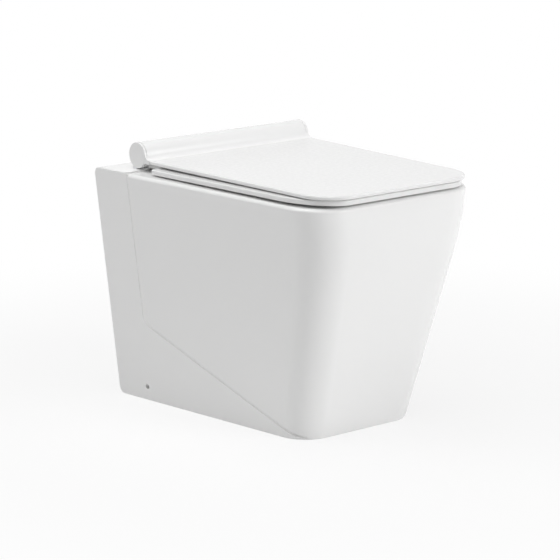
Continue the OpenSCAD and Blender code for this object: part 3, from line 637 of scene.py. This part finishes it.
def groove_cutter(p, pan):
    """A slim tube along the crease on both sides, mostly outside the glaze, that leaves a soft groove."""
    bpy.context.view_layer.update()
    outside, ahead = -0.4, 0.0006
    along = []
    for back, z, share in crease_path(p):
        hit, place, normal, _ = pan.ray_cast(Vector((outside, WALL_Y - back - ahead, z)), Vector((1, 0, 0)))
        if not hit:
            raise RuntimeError("the crease misses the pan's side")
        width = blend(p.groove, p.foot_groove, share)
        depth = blend(p.groove_depth, p.foot_groove_depth, share)
        radius = (width ** 2 / 4 + depth ** 2) / (2 * depth)
        along.append((place + normal * (radius - depth), normal, radius))
    along.append((2 * along[-1][0] - along[-2][0], *along[-1][1:]))
    bm = bmesh.new()
    rings = []
    for i, (place, normal, radius) in enumerate(along):
        onward = (along[min(i + 1, len(along) - 1)][0] - along[max(i - 1, 0)][0]).normalized()
        sideways = onward.cross(normal).normalized()
        turn = Matrix.Translation(place) @ Matrix((normal, sideways, onward)).transposed().to_4x4()
        ring = bmesh.ops.create_circle(bm, cap_ends=False, segments=16, radius=radius, matrix=turn)
        rings.append(list({e for v in ring["verts"] for e in v.link_edges}))
    closed_stack(bm, rings)
    twin = bmesh.ops.duplicate(bm, geom=bm.verts[:] + bm.edges[:] + bm.faces[:])["geom"]
    bmesh.ops.scale(bm, vec=(-1, 1, 1), verts=verts_of(twin))
    bmesh.ops.recalc_face_normals(bm, faces=bm.faces)
    return shell("groove", bm)


def rear_block(p):
    """The rear block and foot behind the crease, with the raised deck."""
    bm = skirt_shell(p, DECK_Z, p.step, p.deck_edge)
    r, quarter_turn, steps = p.rear_round, math.pi / 2, 8
    arc_cuts(bm, (r, r), r, quarter_turn, 0.0, steps)
    arc_cuts(bm, (r, DECK_Z - r), r, 0.0, -quarter_turn, steps)
    sharp, backward = math.radians(40), 0.05
    rear = [
        e for e in bm.edges
        if len(e.link_faces) == 2 and e.calc_face_angle() > sharp
        and sum(f.normal.y > backward for f in e.link_faces) == 1
    ]
    round_off(bm, rear, p.rear_edge, 3, clamp=True)
    block = shell("rear block", bm)
    merge(block, front_cutter(p), "DIFFERENCE")
    merge(block, deck_cutter(p), "DIFFERENCE")
    return block


def front_cutter(p):
    """What is taken off the rear block in front of the crease."""
    lap, low, far, high, width = 0.001, 0.004, 0.7, 0.5, 0.8
    turn = (p.crease_back + lap, p.crease_height + low)
    points = [(turn[0], high), turn, (p.base_depth, low), (far, low), (far, high)]
    bm = bmesh.new()
    bm.faces.new([bm.verts.new((-width / 2, WALL_Y - d, z)) for d, z in points])
    grown = bmesh.ops.extrude_face_region(bm, geom=bm.faces[:])["geom"]
    bmesh.ops.translate(bm, vec=(width, 0, 0), verts=verts_of(grown))
    corner = Vector((WALL_Y - turn[0], turn[1]))
    bend = [e for e in bm.edges if all((v.co.yz - corner).length < 1e-6 for v in e.verts)]
    round_off(bm, bend, p.crease_round * 0.65, 8)
    bmesh.ops.recalc_face_normals(bm, faces=bm.faces)
    return shell("front cutter", bm)


def deck_cutter(p):
    """What is taken off round the raised deck's front."""
    front, back, far, clear = WALL_Y - p.deck_depth, WALL_Y + OVER, 0.5, 0.0003
    half = (p.rim_width - p.rim_taper * p.deck_depth) / 2 - p.step + clear
    wide = half + p.rim_taper / 2 * (back - front)
    right = [(half, front), (wide, back), (far, back), (far, -far)]
    corners = right + [(-x, y) for x, y in reversed(right)]
    rounds = [(p.deck_corner, 8)] + [(0, 1)] * 6 + [(p.deck_corner, 8)]
    bm = bmesh.new()
    rings = [outline(bm, corners, rounds, z) for z in (p.rim_height, DECK_Z + OVER)]
    closed_stack(bm, rings)
    return shell("deck cutter", bm)


def hollow_cutter(p):
    """The hollow inside the skirt, open at the back and underneath."""
    inset = p.wall + p.step
    bm = bmesh.new()
    heights = [-OVER] + skirt_levels(p, 0.0, DECK_Z - p.slab)[1:]
    closed_stack(bm, [skirt_ring(bm, p, z, inset, -OVER, 10) for z in heights])
    return shell("hollow", bm)


def bowl_ring(bm, b, t, grow, z):
    """The bowl's outline at a share t of its height, moved out by grow."""
    rise = (MOUTH_Z - b.sump_height) * t
    swell = math.sin(math.pi / 2 * min(t, 1)) ** 1.3
    below = max(b.sump_round - rise, 0)
    tuck = b.sump_round - math.sqrt(b.sump_round ** 2 - below ** 2)
    w = blend(b.sump_size, b.mouth_width, swell) / 2 - tuck + grow
    l = blend(b.sump_size, b.mouth_length, swell) / 2 - tuck + grow
    y = WALL_Y - blend(b.sump_back, b.mouth_back + b.mouth_length / 2, swell)
    r = min(blend(b.sump_size / 2 - 0.001, b.mouth_round, swell) - tuck + grow, w - 0.0005, l - 0.0005)
    return outline(bm, [(w, y + l), (-w, y + l), (-w, y - l), (w, y - l)], [(r, BOWL_STEPS)] * 4, z)


def bowl_shell(b, grow, top, flare):
    """The bowl's cavity, or its outer shell when grown, up to the height top."""
    full = MOUTH_Z - b.sump_height
    lip = top - (b.mouth_edge if flare else 0)
    heights = [b.sump_height + b.sump_round * (1 - math.cos(math.radians(a))) for a in range(0, 90, 15)]
    heights += [blend(b.sump_height + b.sump_round, lip, (i / 14) ** 1.2) for i in range(15)]
    bm = bmesh.new()
    rings = []
    for z in heights:
        t = (z - b.sump_height) / full
        level = z - grow * (1 - t) if grow else z
        rings.append(bowl_ring(bm, b, t, grow, level))
    if flare:
        t = (lip - b.sump_height) / full
        rings += [bowl_ring(bm, b, t, spread, lip + rise) for spread, rise in quarter(b.mouth_edge, 6)[1:]]
        rings.append(bowl_ring(bm, b, t, b.mouth_edge, top + 0.02))
    closed_stack(bm, rings)
    return shell("bowl", bm)


def trapway(b, radius, extra, steps=40):
    """The trapway from the sump to the outlet, of one radius, made by spinning a circle round its bend."""
    outlet = Vector((0, WALL_Y - b.outlet_gap, b.outlet_height))
    bend = Vector((0, outlet.y - b.trap_run, outlet.z - b.trap_bend))
    bm = bmesh.new()
    bmesh.ops.create_circle(bm, cap_ends=False, segments=steps, radius=radius)
    upright = Matrix.Translation(outlet + Vector((0, extra, 0))) @ Matrix.Rotation(math.pi / 2, 4, "X")
    bmesh.ops.transform(bm, matrix=upright, verts=bm.verts)
    first = bm.edges[:]

    def onward(edges, move):
        new = bmesh.ops.extrude_edge_only(bm, edges=edges)["geom"]
        bmesh.ops.translate(bm, vec=move, verts=verts_of(new))
        return [e for e in edges_of(new) if e.is_boundary]

    ring = onward(first, (0, -b.trap_run - extra, 0))
    geom = list({v for e in ring for v in e.verts}) + ring
    turned = bmesh.ops.spin(
        bm, geom=geom, cent=bend, axis=(1, 0, 0), angle=b.trap_angle, steps=12, use_duplicate=False
    )
    ring = edges_of(turned["geom_last"])
    down = Vector((0, -math.cos(b.trap_angle), -math.sin(b.trap_angle)))
    ring = onward(ring, down * b.trap_leg)
    for i in range(1, 6):
        a, last = math.radians(15 * i), math.radians(15 * (i - 1))
        middle = sum((v.co for e in ring for v in e.verts), Vector()) / (2 * len(ring))
        move = down * radius * (math.sin(a) - math.sin(last))
        ring = onward(ring, move)
        verts = list({v for e in ring for v in e.verts})
        narrower = Vector((1, 1, 1)) * math.cos(a) / math.cos(last)
        bmesh.ops.scale(bm, vec=narrower, space=Matrix.Translation(-middle - move), verts=verts)
    bmesh.ops.edgeloop_fill(bm, edges=ring)
    bmesh.ops.edgeloop_fill(bm, edges=first)
    bmesh.ops.remove_doubles(bm, verts=bm.verts, dist=1e-6)
    bmesh.ops.recalc_face_normals(bm, faces=bm.faces)
    return shell("trapway", bm)


def build_pan():
    """One casting: skirt, deck, rim, bowl, trapway, flush inlet and outlet."""
    s = settings()
    p, b = s.pan, s.bowl
    pan = bowl_body(p)
    merge(pan, rear_block(p), "UNION")
    merge(pan, groove_cutter(p, pan), "DIFFERENCE")
    merge(pan, hollow_cutter(p), "DIFFERENCE")
    into_slab, inside_outlet, mouth_edge = 0.005, 0.048, 0.0015
    merge(pan, bowl_shell(b, b.shell, DECK_Z - p.slab + into_slab, False), "UNION")
    merge(pan, trapway(b, b.trap_radius + b.trap_wall, -inside_outlet), "UNION")
    outlet = Vector((0, WALL_Y - b.outlet_gap - b.outlet_length / 2, b.outlet_height))
    merge(pan, rod("outlet", outlet, "y", b.outlet_radius, b.outlet_length, 72, mouth_edge), "UNION")
    reach = b.mouth_back + b.shell - b.inlet_gap
    inlet = Vector((0, WALL_Y - b.inlet_gap - reach / 2, b.inlet_height))
    merge(pan, rod("inlet", inlet, "y", b.inlet_radius, reach, 64, mouth_edge), "UNION")
    merge(pan, bowl_shell(b, 0.0, p.rim_height, True), "DIFFERENCE")
    merge(pan, trapway(b, b.trap_radius, OVER), "DIFFERENCE")
    outward, inward, longer, right_through = Vector((0, 0.01, 0)), Vector((0, -0.02, 0)), 0.06, 0.6
    merge(pan, rod("outlet bore", outlet + outward, "y", b.outlet_bore, b.outlet_length, 72), "DIFFERENCE")
    merge(pan, rod("inlet bore", inlet + inward, "y", b.inlet_bore, reach + longer), "DIFFERENCE")
    fixing = Vector((0, WALL_Y - b.fixing_back, b.fixing_height))
    merge(pan, rod("fixing holes", fixing, "x", b.fixing_radius, right_through, 32), "DIFFERENCE")
    for side in (-1, 1):
        place = Vector((side * b.bolt_spacing / 2, WALL_Y - b.bolt_back, DECK_Z - p.slab / 2))
        merge(pan, rod("bolt hole", place, "z", b.deck_hole, p.slab * 2, 40), "DIFFERENCE")
    return finish_piece(pan, "glazed_pan", "pan", "glaze", finish("glaze"), "pan")


# The seat, the lid and the hinge


def plate_shell(name, s, width, taper, back, front, rounds, z, thick, stretch=1.0):
    """A thin plate with round edges. The rounds of its back and front corners are (radius, steps)."""
    bm = bmesh.new()
    (back_round, back_steps), (front_round, front_steps) = rounds
    rings = []
    for inset, height in edge_profile(z, z + thick, s.edge):
        corners = tapered_corners(width - 2 * inset, taper, back + inset, front - inset)
        behind = (max(back_round - inset, 0), back_steps)
        ahead = (front_round - inset, front_steps)
        rings.append(outline(bm, corners, [behind, behind, ahead, ahead], height, stretch))
    closed_stack(bm, rings)
    return shell(name, bm)


def seat_hole(s):
    """The seat's opening, flared softly at both faces."""
    y = WALL_Y - s.hole_back - s.hole_length / 2
    low, high = s.seat_height, s.seat_height + s.seat_thick
    bm = bmesh.new()
    rings = []
    for grow, z in [(s.edge, low - OVER), *edge_profile(low, high, s.edge), (s.edge, high + OVER)]:
        w, l, r = s.hole_width / 2 + grow, s.hole_length / 2 + grow, s.hole_round + grow
        rings.append(outline(bm, [(w, y + l), (-w, y + l), (-w, y - l), (w, y - l)], [(r, 24)] * 4, z))
    closed_stack(bm, rings)
    return shell("seat hole", bm)


def on_axis(s, x):
    """A point on the hinge axis."""
    return Vector((x, WALL_Y - s.axis_back, s.axis_height))


def across(bm, x, width):
    """Runs the side view drawn in bm across the given width, with x in the middle."""
    grown = bmesh.ops.extrude_face_region(bm, geom=bm.faces[:])["geom"]
    bmesh.ops.translate(bm, vec=(width, 0, 0), verts=verts_of(grown))
    bmesh.ops.translate(bm, vec=(x - width / 2, 0, 0), verts=bm.verts)
    bmesh.ops.recalc_face_normals(bm, faces=bm.faces)


def seat_lug(s, x):
    """One lug: an arm that rises from the seat's back edge to the eye on the hinge axis."""
    a, h, soft = s.axis_back, s.axis_height, 0.0007
    low = s.seat_height - s.seat_drop
    high = low + s.seat_thick
    root, inside_face = s.seat_back + 0.012, 0.0005
    points = [
        (root, low + inside_face), (root, high - inside_face), (a + 0.018, high - 0.0002),
        (a + 0.010, h - 0.006), (a - 0.002, h - 0.009), (a + 0.0095, s.seat_height + 0.0012),
    ]
    bm = bmesh.new()
    bm.faces.new([bm.verts.new((0, WALL_Y - d, z)) for d, z in points])
    across(bm, x, s.lug_width)
    round_off(bm, [e for e in bm.edges if e.calc_face_angle() > math.radians(20)], soft, 2, clamp=True)
    lug = shell("lug", bm)
    merge(lug, rod("eye", on_axis(s, x), "x", s.lug_eye, s.lug_width, edge=soft), "UNION")
    return lug


def lug_middle(s):
    """Distance of a lug's middle from the middle of the seat."""
    return s.barrel_length / 2 - s.lug_in - s.lug_width / 2


def build_seat():
    """The seat ring with its two hinge lugs."""
    s = settings().seat
    seat = plate_shell(
        "seat", s, s.seat_width, s.seat_taper, s.seat_back, s.seat_front,
        ((s.seat_back_round, 6), (s.seat_round, 24)), s.seat_height, s.seat_thick, s.seat_stretch,
    )
    merge(seat, seat_hole(s), "DIFFERENCE")
    for vert in seat.data.vertices:  # a slight slope down to the hinge
        vert.co.z -= s.seat_drop * (s.seat_front - WALL_Y + vert.co.y) / (s.seat_front - s.seat_back)
    for side, bore in ((-1, s.pin), (1, s.bush)):
        x = side * lug_middle(s)
        merge(seat, seat_lug(s, x), "UNION")
        merge(seat, rod("bore", on_axis(s, x), "x", bore + BEARING_FIT, s.lug_width * 1.5, 48), "DIFFERENCE")
    return finish_piece(seat, "seat", "seat", "gloss_plastic", finish("plastic"), "seat_ring")


def arc(bm, geom, centre, sweep, steps):
    """Draws an arc in the side view, and returns the vertices at its end."""
    turned = bmesh.ops.spin(
        bm, geom=geom, cent=centre, axis=(1, 0, 0), angle=sweep, steps=steps, use_duplicate=False
    )
    return verts_of(turned["geom_last"])


def barrel_shell(s):
    """The lid's hinge barrel with the fillet down to the lid, as one side view run across."""
    lid_top = s.lid_height + s.lid_thick
    axis = on_axis(s, 0)
    rise = lid_top - axis.z + s.fillet
    reach = math.sqrt((s.barrel + s.fillet) ** 2 - rise ** 2)
    fall = axis.z - s.lid_height
    lead = math.sqrt(s.barrel ** 2 - fall ** 2)
    tangent = math.atan2(rise, reach)
    sweep = 2 * math.pi - math.atan2(fall, lead) - tangent
    bm = bmesh.new()
    start = bm.verts.new(axis + Vector((0, -lead, -fall)))
    (tip,) = arc(bm, [start], axis, sweep, 72)
    (end,) = arc(bm, [tip], axis + Vector((0, -reach, rise)), tangent - math.pi / 2, 14)
    corner = bm.verts.new((0, end.co.y, s.lid_height))
    bm.edges.new((end, corner))
    bm.edges.new((corner, start))
    bmesh.ops.edgeloop_fill(bm, edges=bm.edges[:])
    across(bm, 0, s.barrel_length)
    near, far = -s.barrel_length / 2, s.barrel_length / 2
    ends = [e for e in bm.edges if any(all(abs(v.co.x - x) < 1e-6 for v in e.verts) for x in (near, far))]
    round_off(bm, ends, s.cap_edge, 3, clamp=True)
    return shell("barrel", bm)


def lug_slot(s, x):
    """The way that a seat lug swings through the barrel's underside, as a sector of a ring."""
    near, far = s.barrel - s.barrel_wall - 0.001, s.barrel + 0.012
    start, end = math.radians(206), math.radians(357)
    bm = bmesh.new()
    axis = on_axis(s, 0)
    first = [bm.verts.new(axis + Vector((0, math.cos(start) * r, math.sin(start) * r))) for r in (near, far)]
    arc(bm, [*first, bm.edges.new(first)], axis, end - start, 32)
    across(bm, x, s.lug_width + 2 * s.lug_gap)
    return shell("slot", bm)


def build_lid():
    """The lid with its hinge barrel, slotted for the seat's lugs and bored for the dampers."""
    s = settings().seat
    half = s.barrel_length / 2
    inner = half - s.cap - s.cap_gap
    back = s.axis_back + s.barrel - s.lid_thick
    lid = plate_shell(
        "lid", s, s.lid_width, s.lid_taper, back, s.lid_front,
        ((0, 1), (s.lid_round, 24)), s.lid_height, s.lid_thick,
    )
    merge(lid, barrel_shell(s), "UNION")
    core = 2 * (inner - s.end_wall)
    merge(lid, rod("core", on_axis(s, 0), "x", s.barrel - s.barrel_wall, core, 72), "DIFFERENCE")
    for side, bore in ((-1, s.bush), (1, s.pin)):
        merge(lid, lug_slot(s, side * lug_middle(s)), "DIFFERENCE")
        recess = on_axis(s, side * (inner + s.cap * 1.5))
        merge(lid, rod("recess", recess, "x", s.barrel + s.cap_gap, s.cap * 3, 96), "DIFFERENCE")
        end = on_axis(s, side * (inner - s.end_wall / 2))
        merge(lid, rod("bore", end, "x", bore + BEARING_FIT, s.end_wall * 2, 48), "DIFFERENCE")
    return finish_piece(lid, "lid_with_barrel", "lid", "gloss_plastic", finish("plastic"), "lid")


def build_cap(side):
    """A round end cap with a pocket for the steel cheek behind it."""
    s = settings().seat
    half = s.barrel_length / 2
    hand = "right" if side > 0 else "left"
    play, rim, cheek_back, cheek_drop = 0.0002, 0.0022, 0.0142, 0.004
    cap = rod("cap", on_axis(s, side * (half - s.cap / 2)), "x", s.barrel, s.cap, 96, s.cap_edge)
    low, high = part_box("hinge_bracket_" + hand)
    face = max(abs(low.x), abs(high.x)) + play
    pocket = face - (half - s.cap) + OVER
    middle = on_axis(s, side * (face - pocket / 2))
    merge(cap, rod("pocket", middle, "x", s.barrel - rim, pocket, 72), "DIFFERENCE")
    inner, outer = sorted((side * (face - pocket), side * face))
    bottom = (inner, low.y - play, s.axis_height - s.barrel - OVER)
    top = (outer, WALL_Y - s.axis_back + cheek_back, s.axis_height - cheek_drop)
    merge(cap, bar("slot", bottom, top), "DIFFERENCE")
    name = "hinge_cap_" + hand
    return finish_piece(cap, name + "_round", "pan", "gloss_plastic", finish("plastic"), name)


# Operators


class TOILET_OT_pan(bpy.types.Operator):
    """Builds the glazed ceramic pan"""

    bl_idname = "toilet.pan"
    bl_label = "Pan"

    def execute(self, context):
        build_pan()
        return {"FINISHED"}


class TOILET_OT_seat(bpy.types.Operator):
    """Builds the seat ring with its hinge lugs"""

    bl_idname = "toilet.seat"
    bl_label = "Seat"

    def execute(self, context):
        build_seat()
        return {"FINISHED"}


class TOILET_OT_lid(bpy.types.Operator):
    """Builds the lid with its hinge barrel"""

    bl_idname = "toilet.lid"
    bl_label = "Lid"

    def execute(self, context):
        build_lid()
        return {"FINISHED"}


class TOILET_OT_caps(bpy.types.Operator):
    """Builds the two round end caps of the hinge"""

    bl_idname = "toilet.caps"
    bl_label = "Hinge caps"

    def execute(self, context):
        for side in (-1, 1):
            build_cap(side)
        return {"FINISHED"}


class TOILET_OT_hinge_steel(bpy.types.Operator):
    """Finishes the steel and nylon pieces inside the hinge and the seat fixings"""

    bl_idname = "toilet.hinge_steel"
    bl_label = "Hinge and seat fixings"

    def execute(self, context):
        dress("steel", "hinge_bracket_left", "hinge_bracket_right", "seat_damper_rotor", "lid_damper_rotor")
        dress("steel", "hinge_bolts", "hinge_washers", "hinge_nuts")
        dress("nylon", "seat_damper_body", "lid_damper_body", "seat_bush", "lid_bush")
        return {"FINISHED"}


class TOILET_OT_seals(bpy.types.Operator):
    """Finishes the rubber seal, the sleeves and the soft buffers"""

    bl_idname = "toilet.seals"
    bl_label = "Seals and buffers"

    def execute(self, context):
        dress("rubber", "flush_seal", "hinge_sleeves")
        dress("buffer", "seat_buffers", "lid_buffers")
        return {"FINISHED"}


class TOILET_OT_floor_fixings(bpy.types.Operator):
    """Finishes the nylon floor brackets and their screws"""

    bl_idname = "toilet.floor_fixings"
    bl_label = "Floor fixings"

    def execute(self, context):
        dress("nylon", "floor_bracket_left", "floor_bracket_right")
        dress("steel", "floor_screws")
        return {"FINISHED"}


class TOILET_OT_stage(bpy.types.Operator):
    """Lays the floor and sets the lamps, the world and the camera"""

    bl_idname = "toilet.stage"
    bl_label = "Stage"

    def execute(self, context):
        st = settings().studio
        build_floor(st)
        build_world(st)
        build_lamps(st)
        build_camera(st)
        context.scene.view_settings.view_transform = "Standard"
        return {"FINISHED"}


OPERATORS = (
    TOILET_OT_pan, TOILET_OT_seat, TOILET_OT_lid, TOILET_OT_caps, TOILET_OT_hinge_steel,
    TOILET_OT_seals, TOILET_OT_floor_fixings, TOILET_OT_stage,
)


# The stage


def seen(nodes, links):
    """A socket that is 1 for what the camera sees, also in reflections, and 0 for light on things."""
    path = nodes.new("ShaderNodeLightPath")
    value = path.outputs["Is Camera Ray"]
    for ray in ("Is Glossy Ray", "Is Transmission Ray"):
        both = nodes.new("ShaderNodeMath")
        both.operation = "MAXIMUM"
        links.new(value, both.inputs[0])
        links.new(path.outputs[ray], both.inputs[1])
        value = both.outputs["Value"]
    return value


def build_floor(st):
    """A wide pale floor that keeps the toilet's shadow and turns plain white farther off."""
    bm = bmesh.new()
    bmesh.ops.create_grid(bm, x_segments=1, y_segments=1, size=40)
    floor = shell("floor", bm)
    material, nodes, links, shader, place = surface("floor", st.floor, 0.9)
    put(shader, Specular_IOR_Level=0.0)
    white = put(nodes.new("ShaderNodeEmission"), Strength=1.0)
    away = nodes.new("ShaderNodeVectorMath")
    away.operation = "LENGTH"
    links.new(place, away.inputs[0])
    glow = put(
        nodes.new("ShaderNodeMapRange"),
        From_Min=st.glow_from, From_Max=st.glow_to, To_Min=st.floor_glow, To_Max=1.0,
    )
    glow.interpolation_type = "SMOOTHSTEP"
    links.new(away.outputs["Value"], glow.inputs["Value"])
    part = nodes.new("ShaderNodeMath")
    part.operation = "MULTIPLY"
    links.new(seen(nodes, links), part.inputs[0])
    links.new(glow.outputs["Result"], part.inputs[1])
    mix = nodes.new("ShaderNodeMixShader")
    links.new(part.outputs["Value"], mix.inputs["Fac"])
    links.new(shader.outputs["BSDF"], mix.inputs[1])
    links.new(white.outputs["Emission"], mix.inputs[2])
    links.new(mix.outputs["Shader"], nodes["Material Output"].inputs["Surface"])
    floor.data.materials.append(material)


def build_world(st):
    """Even light from all round, seen as white by the camera and in reflections."""
    world = bpy.data.worlds.new("studio")
    bpy.context.scene.world = world
    world.use_nodes = True
    nodes, links = world.node_tree.nodes, world.node_tree.links
    light = put(nodes["Background"], Color=(1, 1, 1, 1), Strength=st.ambient)
    white = put(nodes.new("ShaderNodeBackground"), Color=(1, 1, 1, 1), Strength=1.0)
    mix = nodes.new("ShaderNodeMixShader")
    links.new(seen(nodes, links), mix.inputs["Fac"])
    links.new(light.outputs["Background"], mix.inputs[1])
    links.new(white.outputs["Background"], mix.inputs[2])
    links.new(mix.outputs["Shader"], nodes["World Output"].inputs["Surface"])


def area_lamp(name, place, target, size, power):
    """A square soft lamp that faces the target."""
    lamp = bpy.data.lights.new(name, "AREA")
    lamp.shape = "SQUARE"
    lamp.size = size
    lamp.energy = power
    obj = bpy.data.objects.new(name, lamp)
    obj.location = place
    obj.rotation_mode = "QUATERNION"
    obj.rotation_quaternion = (Vector(target) - Vector(place)).to_track_quat("-Z", "Y")
    bpy.context.scene.collection.objects.link(obj)


def build_lamps(st):
    """The key lamp in front on the right, the wide lamp overhead and the fill lamp behind on the left."""
    middle = (0, 0, 0.25)
    for name, place, size, watts in (
        ("key", (1.31, -2.80, 1.08), 1.4, st.key),
        ("top", (-0.70, 0.15, 2.80), 2.6, st.top),
        ("fill", (-2.12, 1.23, 2.31), 1.6, st.fill),
    ):
        area_lamp(name, place, middle, size, watts)


def build_camera(st):
    """The photograph's view of the toilet."""
    camera = bpy.data.cameras.new("camera")
    camera.sensor_width = 36
    camera.lens = st.lens
    camera.clip_end = 200
    obj = bpy.data.objects.new("camera", camera)
    obj.location = st.camera
    level = math.cos(st.tilt)
    ahead = Vector((math.sin(st.heading) * level, math.cos(st.heading) * level, -math.sin(st.tilt)))
    obj.rotation_mode = "QUATERNION"
    obj.rotation_quaternion = ahead.to_track_quat("-Z", "Y")
    bpy.context.scene.collection.objects.link(obj)
    bpy.context.scene.camera = obj


class TOILET_PT_panel(bpy.types.Panel):
    """Buttons for the toilet's pieces and stage"""

    bl_idname = "TOILET_PT_panel"
    bl_label = "Toilet"
    bl_space_type = "VIEW_3D"
    bl_region_type = "UI"
    bl_category = "Toilet"

    def draw(self, context):
        for operator in OPERATORS:
            self.layout.operator(operator.bl_idname)
        for name in ("pan", "bowl", "seat", "finishes", "studio"):
            group = getattr(context.scene.toilet, name)
            box = self.layout.box()
            box.label(text=name.capitalize())
            for item in group.__annotations__:
                box.prop(group, item)


class ToiletSettings(bpy.types.PropertyGroup):
    """All the toilet's sizes, finishes and studio settings."""

    pan: PointerProperty(type=PanSizes)
    bowl: PointerProperty(type=BowlSizes)
    seat: PointerProperty(type=SeatSizes)
    finishes: PointerProperty(type=Finishes)
    studio: PointerProperty(type=Studio)


CLASSES = (PanSizes, BowlSizes, SeatSizes, Finishes, Studio, ToiletSettings, *OPERATORS, TOILET_PT_panel)


def register():
    """Adds the classes and the scene's settings."""
    for item in CLASSES:
        bpy.utils.register_class(item)
    bpy.types.Scene.toilet = PointerProperty(type=ToiletSettings)


def unregister():
    """Takes the settings and the classes out again."""
    del bpy.types.Scene.toilet
    for item in reversed(CLASSES):
        bpy.utils.unregister_class(item)


def main():
    """Builds every piece and the stage."""
    register()
    for operator in OPERATORS:
        group, name = operator.bl_idname.split(".")
        getattr(getattr(bpy.ops, group), name)()
    bpy.context.view_layer.update()


if __name__ == "__main__":
    main()
